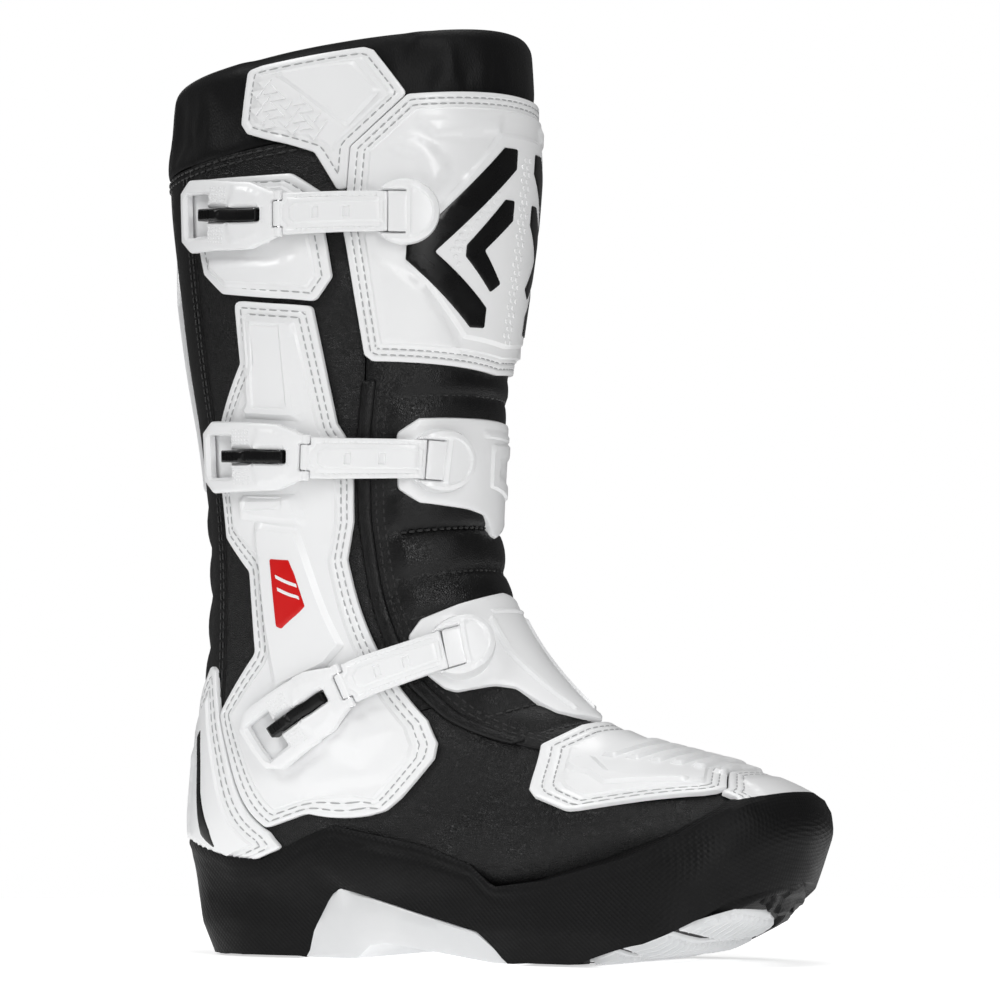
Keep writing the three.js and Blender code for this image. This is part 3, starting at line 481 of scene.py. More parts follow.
def shell_of(top, bottom, faces):
    """A closed shell from a sheet's faces, its upper points and its lower points."""
    used, compact = np.unique(faces, return_inverse=True)
    faces = compact.reshape(faces.shape)
    top, bottom = top[used], bottom[used]
    n = len(used)
    directed = np.concatenate([faces[:, [0, 1]], faces[:, [1, 2]], faces[:, [2, 0]]])
    keys = {(int(a), int(b)) for a, b in directed}
    rim = [(a, b) for a, b in keys if (b, a) not in keys]
    walls = [(a, n + a, n + b) for a, b in rim] + [(a, n + b, b) for a, b in rim]
    return np.concatenate([top, bottom]), np.concatenate([faces, faces[:, ::-1] + n, np.array(walls)])


def relief(name, chart, outline, look="white_tpu", thick=PLATE_THICK, floor=PLATE_FLOOR, holes=(), raised=(),
           grooves=(), border=None, edge=0.9, spacing=2.0, corner=2.0, field=None, body=BODY, node=None, sharp=32):
    """A moulded plate on a chart. raised holds (outline, height, bevel, corner), grooves (inset, depth, half
    width), and border (width, height of the middle above it, bevel). field adds a height of its own at places."""
    loop = resample(rounded(chart.draw(outline), corner), spacing)
    gaps = [resample(rounded(chart.draw(hole), min(corner, 1.0)), spacing) for hole in holes]
    forms = [
        (resample(rounded(chart.draw(shape), turn), spacing), height, bevel)
        for shape, height, bevel, turn in raised
    ]
    guides = [inset(loop, edge * share) for share in (0.3, 1.0)]
    guides += [inset(loop, at + side * half) for at, _, half in grooves for side in (-1, 0, 1)]
    if border:
        guides += [inset(loop, border[0]), inset(loop, border[0] + border[2])]
    for form, _, bevel in forms:
        guides += [form, inset(form, bevel)]
    guides += [inset(gap[::-1], -0.7 * edge) for gap in gaps]
    flat, faces = triangles_in([loop, *gaps], [g for g in guides if len(g) > 3], spacing)
    left = np.sum(twice_areas(flat, faces)) > 0
    deep = np.abs(depth(flat, loop))
    rim = np.min([deep, *(closest(flat, gap) for gap in gaps)], 0)
    over = np.clip(edge - rim, 0, edge)
    lift = floor + thick - (edge - np.sqrt(np.maximum(edge**2 - over**2, 0)))
    for form, height, bevel in forms:
        lift = lift + height * np.clip(depth(flat, form) / bevel, 0, 1)
    if border:
        lift = lift + border[1] * np.clip((deep - border[0]) / border[2], 0, 1)
    for at, deepness, half in grooves:
        lift = lift - deepness * np.clip(1 - np.abs(deep - at) / half, 0, 1)
    if field is not None:
        lift = np.maximum(lift + field(flat / chart.scale, rim), floor + 0.25)
    top, bottom = chart.at(flat, lift), chart.at(flat, np.full(len(flat), floor))
    points, shell = shell_of(top, bottom, faces[:, ::-1] if left else faces)
    return piece(name, points, shell, look, body, sharp, node)


def tube_faces(rings, sides):
    """Triangles of a closed tube of numbered rings, one after the other."""
    faces = []
    for start in range(0, (rings - 1) * sides, sides):
        for k in range(sides):
            a, b = start + k, start + (k + 1) % sides
            faces += [(a, b, b + sides), (a, b + sides, a + sides)]
    last = (rings - 1) * sides
    for k in range(1, sides - 1):
        faces += [(0, k + 1, k), (last, last + k, last + k + 1)]
    return np.array(faces)


def capsules(starts, ends, outward, radius):
    """Points and faces of one small round-ended bar for each pair of places."""
    sides, rings = 6, [(-0.5, 0.35), (-0.32, 1), (0.32, 1), (0.5, 0.35)]
    along = ends - starts
    length = np.linalg.norm(along, axis=1, keepdims=True)
    along = along / np.maximum(length, 1e-9)
    side = np.cross(outward, along)
    side /= np.maximum(np.linalg.norm(side, axis=1, keepdims=True), 1e-9)
    up = np.cross(along, side)
    middle = (starts + ends) / 2
    points = [
        middle + along * length * share + size * radius * (side * math.cos(turn) + up * math.sin(turn))
        for share, size in rings for turn in 2 * math.pi * np.arange(sides) / sides
    ]
    offsets = np.arange(len(middle))[:, None, None] * (sides * len(rings))
    faces = tube_faces(len(rings), sides)[None] + offsets
    return np.stack(points, 1).reshape(-1, 3), faces.reshape(-1, 3)


def stitching(name, chart, lines, lift, look="grey_thread", pitch=4.0, length=2.9, radius=0.36, body=BODY):
    """Rows of stitches along lines on a chart. Each line is (sheet points, closed)."""
    starts, ends = [], []
    for line, closed in lines:
        line = np.asarray(line, float)
        if closed:
            line = np.concatenate([line, line[:1]])
        run = np.concatenate([[0], np.cumsum(np.hypot(*np.diff(line, axis=0).T))])
        at = np.arange(pitch / 2, run[-1] - pitch / 4, pitch)
        for sign, store in ((-1, starts), (1, ends)):
            store.append(np.stack([np.interp(at + sign * length / 2, run, line[:, k]) for k in (0, 1)], 1))
    starts, ends = np.concatenate(starts), np.concatenate(ends)
    middle = chart.at((starts + ends) / 2, lift)
    clear = middle[:, 2] > along_x(WALL_TOP, middle[:, 0]) + 1.5
    starts, ends = starts[clear], ends[clear]
    a, b = chart.at(starts, lift), chart.at(ends, lift)
    outward = chart.at((starts + ends) / 2, lift + 1.0) - chart.at((starts + ends) / 2, lift)
    points, faces = capsules(a, b, outward, radius)
    return piece(name, points, faces, look, body, 60)


def grid_shell(top, bottom):
    """Points and faces of a closed shell between two rolled grids of points, (rows, columns, 3)."""
    rows, columns = top.shape[:2]
    n = rows * columns
    index = np.arange(n).reshape(rows, columns)
    index = np.concatenate([index, index[:, :1]], 1)
    a, b, c, d = index[:-1, :-1], index[:-1, 1:], index[1:, 1:], index[1:, :-1]
    quads = np.stack([a, b, c, d], -1).reshape(-1, 4)
    walls = [np.stack([r[1:], r[:-1], r[:-1] + n, r[1:] + n], -1) for r in (index[0], index[-1][::-1])]
    points = np.concatenate([top.reshape(-1, 3), bottom.reshape(-1, 3)])
    return points, np.concatenate([quads, quads[:, ::-1] + n, *walls])


def skin_shell(name, turns, levels, lift, inner, look, node):
    """A leather or lining shell over a grid of the skin. lift is a function of turn and level."""
    turn, level = np.meshgrid(turns, levels)
    points, faces = grid_shell(skin(turn, level, lift(turn, level)), skin(turn, level, inner))
    return piece(name, points, faces, look, BODY, 60, node)


def smooth_step(x):
    x = np.clip(x, 0, 1)
    return x * x * (3 - 2 * x)


def signed(turn):
    """A turn from -180 to 180 degrees, 0 at the front."""
    return (turn + 180) % 360 - 180


def mirrored(points):
    return [(-turn, level) for turn, level in points][::-1]


def handed(points, sign):
    return [(sign * a, b) for a, b in points]


def shifted(points, turn, level=0.0):
    return [(a + turn, b + level) for a, b in points]


def rectangle(start, stop, half):
    return [(start, -half), (stop, -half), (stop, half), (start, half)]


def creases(turn, level, size=0.35):
    """Slow, shallow unevenness of leather over foam."""
    a, b = np.radians(turn), level / 60
    return size * (np.sin(3.1 * a + 1.7 * b + 0.6) * np.sin(2.3 * b - 1.3 * a + 1.1) + 0.4 * np.sin(9 * a + 6 * b))


def studs(name, chart, shapes, lift, height, bevel, look="white_tpu", body=BODY):
    """Small raised shapes on a sheet, each a polygon in sheet millimetres with sloping sides."""
    points, faces, start = [], [], 0
    for shape in shapes:
        loop = np.asarray(shape, float)
        centre = loop.mean(0)
        size = np.hypot(*(loop - centre).T).mean()
        small = centre + (loop - centre) * (1 - bevel / size)
        n = len(loop)
        points += [chart.at(loop, lift - 0.25), chart.at(small, lift + height)]
        ring = range(n)[::-1] if turns_left(loop) else range(n)
        for k in range(n):
            a, b = start + ring[k], start + ring[(k + 1) % n]
            faces += [(a, b, b + n), (a, b + n, a + n)]
        for k in range(1, n - 1):
            a, b, c = start + ring[0], start + ring[k], start + ring[k + 1]
            faces += [(a + n, b + n, c + n), (a, c, b)]
        start += 2 * n
    return piece(name, np.concatenate(points), faces, look, body, 20)


def border_stitches(name, chart, outline, rows, corner):
    """Rows of stitches along a plate's edge, sunk into its grooves."""
    loop = resample(rounded(chart.draw(outline), corner), 1.5)
    lines = [(inset(loop, at), True) for at in rows]
    stitching(f"{name}_stitches", chart, lines, PLATE_FLOOR + PLATE_THICK - 0.35)


def plate(name, outline, node, chart, rows=(2.9, 5.5), border=7.4, field_rise=1.0, raised=(), corner=3.0, **more):
    """A moulded white plate with a flat stitched border and a raised middle."""
    relief(name, chart, outline, raised=raised, grooves=[(at, 0.5, 0.75) for at in rows], node=node, corner=corner,
           border=(border, field_rise, 0.9), **more)
    border_stitches(name, chart, outline, rows, corner)


class StripChart(Chart):
    """A sheet that follows a closure: distance along it, distance across it and lift."""

    def __init__(self, points):
        p = np.array(points, float)
        count = len(p)
        t = np.linspace(0, count - 1, 161)
        k = np.minimum(t.astype(int), count - 2)
        before, after = p[np.maximum(k - 1, 0)], p[np.minimum(k + 2, count - 1)]
        self.stations = through(before, p[k], p[k + 1], after, (t - k)[:, None])
        step = np.linalg.norm(np.diff(skin_point(*self.stations.T), axis=0), axis=1)
        self.lengths = np.concatenate([[0], np.cumsum(step)])
        self.length = self.lengths[-1]

    def station(self, s):
        k = np.clip(np.searchsorted(self.lengths, s, "right"), 1, len(self.lengths) - 1)
        t = ((s - self.lengths[k - 1]) / (self.lengths[k] - self.lengths[k - 1]))[..., None]
        return self.stations[k - 1] * (1 - t) + self.stations[k] * t

    def frame(self, s):
        """Place, point, direction across and direction outwards at distances along the strip."""
        here = self.station(s)
        point, out = skin_point(*here.T), skin_normal(*here.T)
        along = skin_point(*self.station(s + 2).T) - skin_point(*self.station(s - 2).T)
        along = along - out * np.sum(along * out, -1, keepdims=True)
        along = along / np.linalg.norm(along, axis=-1, keepdims=True)
        return here, point, np.cross(along, out), out

    def at(self, uv, lift):
        s, t = np.asarray(uv, float).T
        here, point, across, _ = self.frame(s)
        turn, level = here.T
        step = 0.5
        by_turn = (skin_point(turn + step, level) - point) / step
        by_level = (skin_point(turn, level + step) - point) / step
        aa, ab, bb = (np.sum(x * y, 1) for x, y in ((by_turn, by_turn), (by_turn, by_level), (by_level, by_level)))
        ra, rb = np.sum(by_turn * across, 1), np.sum(by_level * across, 1)
        det = aa * bb - ab * ab
        turn = turn + t * (ra * bb - rb * ab) / det
        level = level + t * (rb * aa - ra * ab) / det
        return skin(turn, level, np.broadcast_to(lift, turn.shape))


# ---------------------------------------------------------------- outlines, in turn and level
ANKLE_SEAM, COLLAR_SEAM, BACK_SEAM = 100, 361, 127
FLEX_EDGE = [
    (38, 56), (54, 93), (59, 111), (61.5, 133), (63, 160), (64.5, 188), (64, 206), (63.5, 223), (61.5, 248),
    (60, 360),
]
SHIN_SIDE = [(59, 256), (62, 259), (66, 286), (70, 315), (69, 333), (68, 353), (50, 375)]
SIDE_PLATE = [
    (90, 55), (97.5, 72), (109.5, 73), (126, 127), (107, 145), (109, 176), (122, 191), (123, 210), (119, 238),
    (106, 262), (106.5, 291), (80, 283), (75, 249), (72, 230), (69, 224), (66.5, 206), (67.5, 188), (71, 173),
    (66, 133), (63, 111), (60, 95), (61.5, 83), (65.5, 75.5), (82, 59), (88, 54.5),
]
COLLAR_PLATE = [
    (101, 373), (100, 399), (95, 400), (64, 400), (61, 398), (50.2, 375.3), (68.2, 353.3), (69.2, 334), (72, 334),
    (79, 353), (99, 368),
]
TOP_BACKING = [
    (79, 285), (111.5, 295), (120, 306), (121.5, 317), (120, 352), (86, 345), (77, 334), (76, 315), (73.5, 295),
]
HEEL_SIDE = [(109.5, 70), (127, 127), (132, 144), (136, 146)]
TOE_REAR = [(16, 67), (38, 61), (62, 25), (66, 16), (71.5, -8), (70, -12), (42, -51), (37, -54.5), (31, -55)]
TOE_SEAM = [(31, -55), (13, -37)]
INNER_GUARD = [
    (-63, 98), (-66, 133), (-71, 173), (-70, 206), (-76, 249), (-78, 330), (-112, 330), (-118, 300), (-120, 240),
    (-122, 200), (-118, 150), (-112, 110), (-104, 70), (-90, 50), (-80, 60),
]
CALF_PLATE = [(164, 214), (196, 208), (232, 208), (236, 300), (230, 330), (170, 330), (162, 300)]
CUFF_PAD = [
    (49, 200), (49, 224), (40, 230), (-52, 230), (-60, 224), (-60, 196), (-40, 190), (-17, 181), (-4, 176),
    (0.5, 177), (1, 182), (5, 186.5), (15, 189), (28, 191), (40, 193),
]
INSTEP_SIDE = [
    (13, 74), (19, 79), (26, 97), (33, 101), (47, 103), (50, 106), (53, 114), (54, 134), (47, 141), (29, 145),
]
# The middle line of each closure, from its adjuster disc to the end of its lever.
CLOSURES = {
    "top": [(50, 321), (59, 322), (82, 325), (99, 328.5), (111, 332), (123, 334)],
    "mid": [(31, 211), (44, 212.5), (60, 214), (76, 216), (97, 220), (110, 222), (124, 224)],
    "low": [(37, 122.3), (48, 122.3), (59.5, 121.7), (72.3, 121), (85, 118), (95, 113), (106, 107)],
}
SHAFT = SkinChart(1.15, 1.0)
INSTEP = SkinChart(1.0, 1.0)
TOE = SkinChart(0.9, 0.62)
FOOT = SkinChart(0.95, 0.8)
LEATHER = 3.0


# ---------------------------------------------------------------- upper
QUILT = [250, 240, 220, 200, 181, 161, 142, 122, 104, 88, 70, 52]


def flex_turn(level):
    """Turn of the front panel's edge at a level."""
    turns, levels = np.array(FLEX_EDGE).T
    return np.interp(level, levels, turns)


def quilt(places, rim):
    """Rolls across the front panel between its sewn lines."""
    turn, level = places.T
    lines = np.array(sorted(QUILT))
    k = np.clip(np.searchsorted(lines, level) - 1, 0, len(lines) - 2)
    share = np.clip((level - lines[k]) / (lines[k + 1] - lines[k]), 0, 1)
    height = np.interp(level, [50, 90, 130, 150, 180, 215, 240, 252], [2.2, 2.2, 2.8, 3.8, 3.6, 2.2, 2.6, 0.6])
    near = np.minimum(level - lines[k], lines[k + 1] - level)
    pucker = 0.35 * np.exp(-((near / 3.0) ** 2)) * np.sin(np.radians(turn) * 62)
    roll = np.sqrt(np.maximum(1 - np.abs(2 * share - 1) ** 2.0, 0)) - 0.35 + 0.25 * pucker
    fade = smooth_step((flex_turn(level) - 9 - np.abs(turn)) / 7)
    inside_quilt = (level > lines[0]) & (level < lines[-1])
    wave = 0.35 * np.sin(np.radians(turn) * 7 + level * 0.21) + 0.25 * np.sin(np.radians(turn) * 13 - level * 0.17)
    return np.where(inside_quilt, height * (roll + 0.12 * wave) * fade, 0) + 0.4 * (1 - fade)


def flexing_ribs(places, rim):
    """Soft ribs over the tendon, where the boot bends, and slow creases elsewhere."""
    turn, level = places.T
    zone = smooth_step((level - 118) / 14) * smooth_step((216 - level) / 16)
    across = smooth_step((34 - np.abs(turn - 180)) / 12)
    rib = np.abs(np.sin(math.pi * (level - 120) / 17.5)) ** 0.6
    return zone * across * (2.2 * rib - 0.8) + creases(turn, level, 0.3) * smooth_step(rim / 8)


def soft_creases(places, rim):
    return creases(*places.T) * smooth_step(rim / 8)


def upper():
    turns = np.arange(0, 360, 3.0)
    levels = np.concatenate([np.arange(-106, -60, 2.0), np.arange(-60, ANKLE_SEAM, 3.0), [ANKLE_SEAM - 0.3]])

    def foot_lift(turn, level):
        under_front = smooth_step((flex_turn(level) - 2 - np.abs(signed(turn))) / 4) * (level > 54)
        return creases(turn, level, 0.4) * smooth_step((turn - 20) / 20) - 2.2 * under_front

    skin_shell("foot_leather", turns, levels, foot_lift, -LEATHER, "black_leather", ["vamp", "heel_quarter"])
    above = [p for p in FLEX_EDGE if p[1] > ANKLE_SEAM]
    outer = [(flex_turn(ANKLE_SEAM) + 0.3, ANKLE_SEAM), *shifted(above[:-1], 0.3), (60.3, COLLAR_SEAM),
             (BACK_SEAM - 0.2, COLLAR_SEAM), (BACK_SEAM - 0.2, ANKLE_SEAM)]
    for side, outline in (("outer", outer), ("inner", mirrored(outer))):
        relief(f"{side}_shaft_leather", SHAFT, outline, "black_leather", LEATHER, -LEATHER, edge=0.8, spacing=3.2,
               corner=0, field=soft_creases, node=f"{side}_shaft_panel")
    rear = [(BACK_SEAM, ANKLE_SEAM), (360 - BACK_SEAM, ANKLE_SEAM), (360 - BACK_SEAM, COLLAR_SEAM),
            (BACK_SEAM, COLLAR_SEAM)]
    relief("rear_flex_leather", SHAFT, rear, "smooth_leather", LEATHER, -LEATHER, edge=1.2, spacing=3.0, corner=0,
           field=flexing_ribs, node="rear_flex_panel", sharp=60)
    front = [(0, 50), *FLEX_EDGE, *mirrored(FLEX_EDGE)]
    relief("front_quilted_panel", INSTEP, front, "smooth_leather", 2.6, -2.0, edge=1.0, spacing=2.4, corner=0,
           field=quilt, node="front_flex_panel", sharp=70)
    seams = []
    for level in QUILT[1:-1]:
        reach = flex_turn(level) - 9
        seams.append((INSTEP.draw([(t, level) for t in np.linspace(-reach, reach, 40)]), False))
    for side_of in (1, -1):
        for back in (6.2, 9.2):
            edge_line = [(side_of * (flex_turn(h) - back), h) for h in np.arange(60, 352, 4.0)]
            seams.append((INSTEP.draw(edge_line), False))
    stitching("front_panel_stitches", INSTEP, seams, 0.7, "black_thread", 3.6, 2.5, 0.5)
    rear_seams = [
        (SHAFT.draw([(turn, h) for h in np.arange(104, 358, 4.0)]), False)
        for turn in (BACK_SEAM + 1.8, BACK_SEAM + 4.4, 360 - BACK_SEAM - 1.8, 360 - BACK_SEAM - 4.4)
    ]
    stitching("rear_panel_stitches", SHAFT, rear_seams, 0.3, "black_thread", 3.6, 2.6, 0.4)
    edge = [(43, 68), *FLEX_EDGE[1:-1]]
    band = [*shifted(edge, 1.2), *shifted(edge, -4.3)[::-1]]
    relief("tongue_binding_strip", INSTEP, band, "smooth_leather", 2.2, 0.2, edge=1.6, spacing=1.6, corner=1.5,
           node="tongue_binding", sharp=60)
    collar_seams = [
        (SHAFT.draw([(t, COLLAR_SEAM - off) for t in np.arange(71, 305, 3.0)]), False) for off in (2.2, 5.0)
    ]
    stitching("collar_seam_stitches", SHAFT, collar_seams, 0.3, "black_thread", 3.8, 2.8, 0.42)


def collar():
    """A padded roll round the top, blown up by a cloth simulation and held down under the plates."""
    outer, inner, rim = -1.2, -7.6, 401
    rows = [(level, outer) for level in np.linspace(COLLAR_SEAM, rim, 11)]
    rows += [(rim + 5.0 * math.sin(math.pi * share), outer + (inner - outer) * share)
             for share in np.linspace(0.12, 0.88, 5)]
    rows += [(level, inner) for level in np.linspace(rim - 0.5, COLLAR_SEAM, 11)]
    turns = np.arange(0, 360, 2.0)
    points = np.array([skin(turns, level, lift) for level, lift in rows])
    n, m = len(rows), len(turns)
    index = np.arange(n * m).reshape(n, m)
    faces = [
        (index[j, k], index[j, (k + 1) % m], index[(j + 1) % n, (k + 1) % m], index[(j + 1) % n, k])
        for j in range(n) for k in range(m)
    ]
    made = piece("soft_collar", points.reshape(-1, 3), faces, "black_textile", BODY, 80, "collar")
    swell(made, 4.0, collar_limit)


def collar_limit(turn, level):
    """How far the collar may swell out at a place: not at all under the two plates that lie on it."""
    turn = signed(turn)
    under_shin = smooth_step((74 - np.abs(turn)) / 6) * smooth_step((378 - level) / 5)
    under_side = smooth_step((turn - 46) / 6) * smooth_step((105 - turn) / 5)
    return 2.2 * (1 - np.maximum(under_shin, under_side))


def skin_places(points):
    """Turn, level and outward direction of millimetre points near the shaft, from its nearest sample."""
    turn, level = np.meshgrid(np.arange(0, 360, 2.0), np.arange(300, COLLAR_TOP + 0.1, 2.0))
    turn, level = turn.ravel(), level.ravel()
    base, out = skin_point(turn, level), skin_normal(turn, level)
    tree = KDTree(len(base))
    for k, p in enumerate(base):
        tree.insert(p, k)
    tree.balance()
    near = np.array([tree.find(p)[1] for p in points])
    return turn[near], level[near], out[near]


CLOTH_STEPS, MOST_SIDEWAYS = 20, 1.5


def swell(made, pressure, limit):
    """Blows a padded piece up as cloth, and limits how far it stands proud."""
    select(made)
    rest = vertices_of(made)
    cloth = made.modifiers.new("cloth", "CLOTH")
    settings = cloth.settings
    settings.use_pressure, settings.uniform_pressure_force = True, pressure
    settings.effector_weights.gravity = 0
    settings.shrink_min = -0.05
    settings.quality, settings.mass = 5, 0.3
    scene = bpy.context.scene
    for number in range(1, CLOTH_STEPS + 1):
        scene.frame_set(number)
    bpy.ops.object.modifier_apply(modifier=cloth.name)
    scene.frame_set(1)
    moved = vertices_of(made) - rest
    turn, level, out = skin_places(rest)
    outward = np.sum(moved * out, 1)
    sideways = moved - out * outward[:, None]
    outward = np.clip(outward, -MOST_SIDEWAYS, limit(turn, level))
    reach = np.linalg.norm(sideways, axis=1, keepdims=True)
    sideways *= np.minimum(1, MOST_SIDEWAYS / np.maximum(reach, 1e-6))
    made.data.vertices.foreach_set("co", ((rest + out * outward[:, None] + sideways) * MM).ravel())
    smooth = made.modifiers.new("smooth", "SMOOTH")
    smooth.factor, smooth.iterations = 0.5, 2
    bpy.ops.object.modifier_apply(modifier=smooth.name)
    finer = made.modifiers.new("finer", "SUBSURF")
    finer.levels = finer.render_levels = 1
    bpy.ops.object.modifier_apply(modifier=finer.name)
    made.data.shade_smooth()


def select(made):
    bpy.ops.object.select_all(action="DESELECT")
    bpy.context.view_layer.objects.active = made
    made.select_set(True)


def vertices_of(made):
    flat = np.empty(len(made.data.vertices) * 3)
    made.data.vertices.foreach_get("co", flat)
    return flat.reshape(-1, 3) / MM


def inside_of_boot():
    turns = np.arange(0, 360, 4.0)
    even = lambda turn, level: np.full(np.shape(turn), -5.5) + creases(turn, level, 0.2)
    shaft_levels = np.append(np.arange(60.5, 360, 5.0), 360.5)
    for part, levels in (("foot", np.arange(-96, 60, 4.0)), ("shaft", shaft_levels)):
        skin_shell(f"{part}_lining_fabric", turns, levels, even, -7.6, "black_textile", f"{part}_lining")
    bed = [(153, -73), (207, -73), (209, 37), (151, 37)]
    bed_piece = relief("foam_footbed", FOOT, bed, "black_textile", -3.0, -9.4, edge=1.0, spacing=4.0, corner=8,
                       node="footbed", sharp=60)
    ankle = [(76, 122), (84, 114), (102, 114), (110, 122), (110, 160), (102, 170), (84, 170), (76, 160)]
    for side, outline in (("outer", ankle), ("inner", mirrored(ankle))):
        foam = relief(f"{side}_ankle_foam", SHAFT, outline, "black_textile", 1.3, -4.8, edge=0.8, spacing=4.0,
                      corner=6, node=f"{side}_ankle_pad")


# ---------------------------------------------------------------- moulded plates
def ring_of(centre, radius, count, turn=0.0):
    angles = np.radians(turn) + 2 * math.pi * np.arange(count) / count
    return np.stack([centre[0] + radius * np.cos(angles), centre[1] + radius * np.sin(angles)], 1)


def honeycomb(chart, zone, pitch, count=6, radius=0.42, turn=30.0, margin=1.2):
    """Small polygons in rows that fill a zone of a chart."""
    loop = chart.draw(zone)
    low, high = loop.min(0), loop.max(0)
    out = []
    for j, v in enumerate(np.arange(low[1], high[1], pitch * 0.866)):
        for k, u in enumerate(np.arange(low[0] + (j % 2) * pitch / 2, high[0], pitch)):
            if depth(np.array([[u, v]]), loop)[0] > margin:
                out.append(ring_of((u, v), pitch * radius, count, turn + (60 * (k % 2) if count == 3 else 0)))
    return out


def shin():
    outline = [(0, 250), *SHIN_SIDE, *mirrored(SHIN_SIDE)]
    chart = SkinChart(1.2, 1.0)
    rise = 1.3
    facets = [
        [(50, 364), (41, 353), (14, 355), (12, 366)],
        [(59, 351), (47, 344), (41, 326), (34, 340), (41, 351), (50, 358)],
        [(62, 306), (57, 262), (22, 257), (40, 288)],
    ]
    shield = [(15, 357), (52, 303), (24, 265), (0, 262), (-24, 265), (-52, 303), (-15, 357)]
    raised = [(handed(facet, sign), rise, 3.4, 0.6) for sign in (1, -1) for facet in facets]
    plate("shin_guard", outline, "shin_plate", chart, raised=[*raised, (shield, rise, 2.0, 4.0)], spacing=2.2)
    top = PLATE_FLOOR + PLATE_THICK + 1.0 + rise
    stripes = {
        "": [(6, 350), (13, 350), (49, 306), (49, 300), (22, 270), (15, 270), (15, 279), (39, 303), (6, 341)],
        "small_": [(6, 327), (11, 327), (27, 306), (27, 301), (14, 286), (9, 290), (19, 304), (6, 318)],
    }
    for sign, side in ((1, "outer"), (-1, "inner")):
        for size, shape in stripes.items():
            relief(f"shin_stripe_{size}{side}", chart, handed(shape, sign), "black_plastic", 0.75, top - 0.35,
                   edge=0.3, spacing=2.0, corner=1.2)
    middle = [(4, 349), (4, 262), (-4, 262), (-4, 349)]
    zone = [(15, 334), (36, 305), (20, 282), (29, 303), (13, 326)]
    studs("shin_texture", chart, honeycomb(chart, middle, 3.6), top, 0.3, 0.5)
    studs("shin_texture_outer", chart, honeycomb(chart, zone, 3.6, margin=0.8), top, 0.3, 0.5)


def collar_side():
    facet = [(92, 395), (67, 393.5), (58.5, 377.5), (69, 362), (75, 370)]
    plate("collar_wing", COLLAR_PLATE, "collar_side_plate", SHAFT, rows=(3.2,), border=5.0, field_rise=0.7,
          raised=[(facet, 1.4, 1.6, 0.6)], spacing=1.8)
    zone = [(97.5, 394), (93.5, 393), (76, 371), (72.5, 365), (75, 357), (80, 357.5), (98, 373)]
    triangles = honeycomb(SHAFT, zone, 4.8, 3, 0.6, 90)
    studs("collar_wing_texture", SHAFT, triangles, PLATE_FLOOR + PLATE_THICK + 0.7, 0.6, 0.45)


def side_plates():
    spine = [(104, 284), (86, 279), (84.5, 240), (82, 232), (108.5, 238), (104.5, 244)]
    recess = [(99.5, 279), (89.5, 276.5), (88.5, 238.5), (101, 241)]
    block = [(111.5, 206.5), (88, 203), (84, 189), (111.5, 197)]
    pocket = [(107.5, 205.3), (92, 202.5), (92, 197.5), (108, 199.6)]
    panel = [(104.5, 195), (88, 189), (76, 137.5), (83, 131), (99, 127), (104, 170)]
    kite = [(80, 110), (69, 95.5), (83, 82.5), (92.5, 101.5)]
    skirt = [(100, 91), (96, 80), (80, 70), (67, 80), (64, 92), (68, 104), (80, 113), (94, 106)]
    flare = [(97, 124), (93, 104), (99, 92), (106, 104), (104, 122)]
    plate("outer_side_shell", SIDE_PLATE, "outer_side_plate", SHAFT,
          raised=[(spine, 2.0, 2.6, 1.0), (recess, -0.9, 0.7, 0.6), (block, 2.2, 2.8, 1.0), (pocket, -0.8, 0.6, 0.4),
                  (panel, 2.0, 2.2, 1.4), (skirt, 1.0, 6.0, 1.0), (kite, 2.6, 7.0, 0.5), (flare, 1.0, 2.5, 1.0)])
    top = PLATE_FLOOR + PLATE_THICK + 1.0 + 2.0
    label = [(97.5, 179), (91, 177), (87, 157.5), (94.5, 151), (96.2, 152.5)]
    relief("side_label", SHAFT, label, "red_label", 0.65, top - 0.35, edge=0.3, spacing=1.6, corner=0.8)
    stripe = [(95.6, 172.5), (89.3, 167), (89.0, 165.4), (95.4, 170.9)]
    for k in range(2):
        relief(f"side_label_stripe_{k}", SHAFT, shifted(stripe, -0.5 * k, -5 * k), "white_tpu", 0.4, top + 0.1,
               edge=0.2, spacing=1.4, corner=0.2)
    backing_ridge = [(117, 313), (92, 306.5), (82, 308), (83, 290), (110, 296.5), (118, 306)]
    plate("top_buckle_shell", TOP_BACKING, "top_buckle_backing", SHAFT, rows=(3.4,), border=5.6,
          raised=[(backing_ridge, 1.4, 3.4, 1.0)])
    rib = [(-86, 135), (-87, 153), (-101, 159), (-102, 141)]
    plate("inner_side_shell", INNER_GUARD, "inner_side_guard", SHAFT, corner=4.0, spacing=2.4,
          raised=[(shifted(rib, 0, 27 * k), 1.0, 1.6, 1.5) for k in range(6)])
    scale = [(180, 222), (220, 222), (226, 231), (200, 236), (174, 231)]
    plate("calf_shell", CALF_PLATE, "calf_plate", SHAFT, rows=(3.0,), border=5.2,
          raised=[(shifted(scale, 0, 17 * k), 0.9, 1.6, 1.0) for k in range(6)])


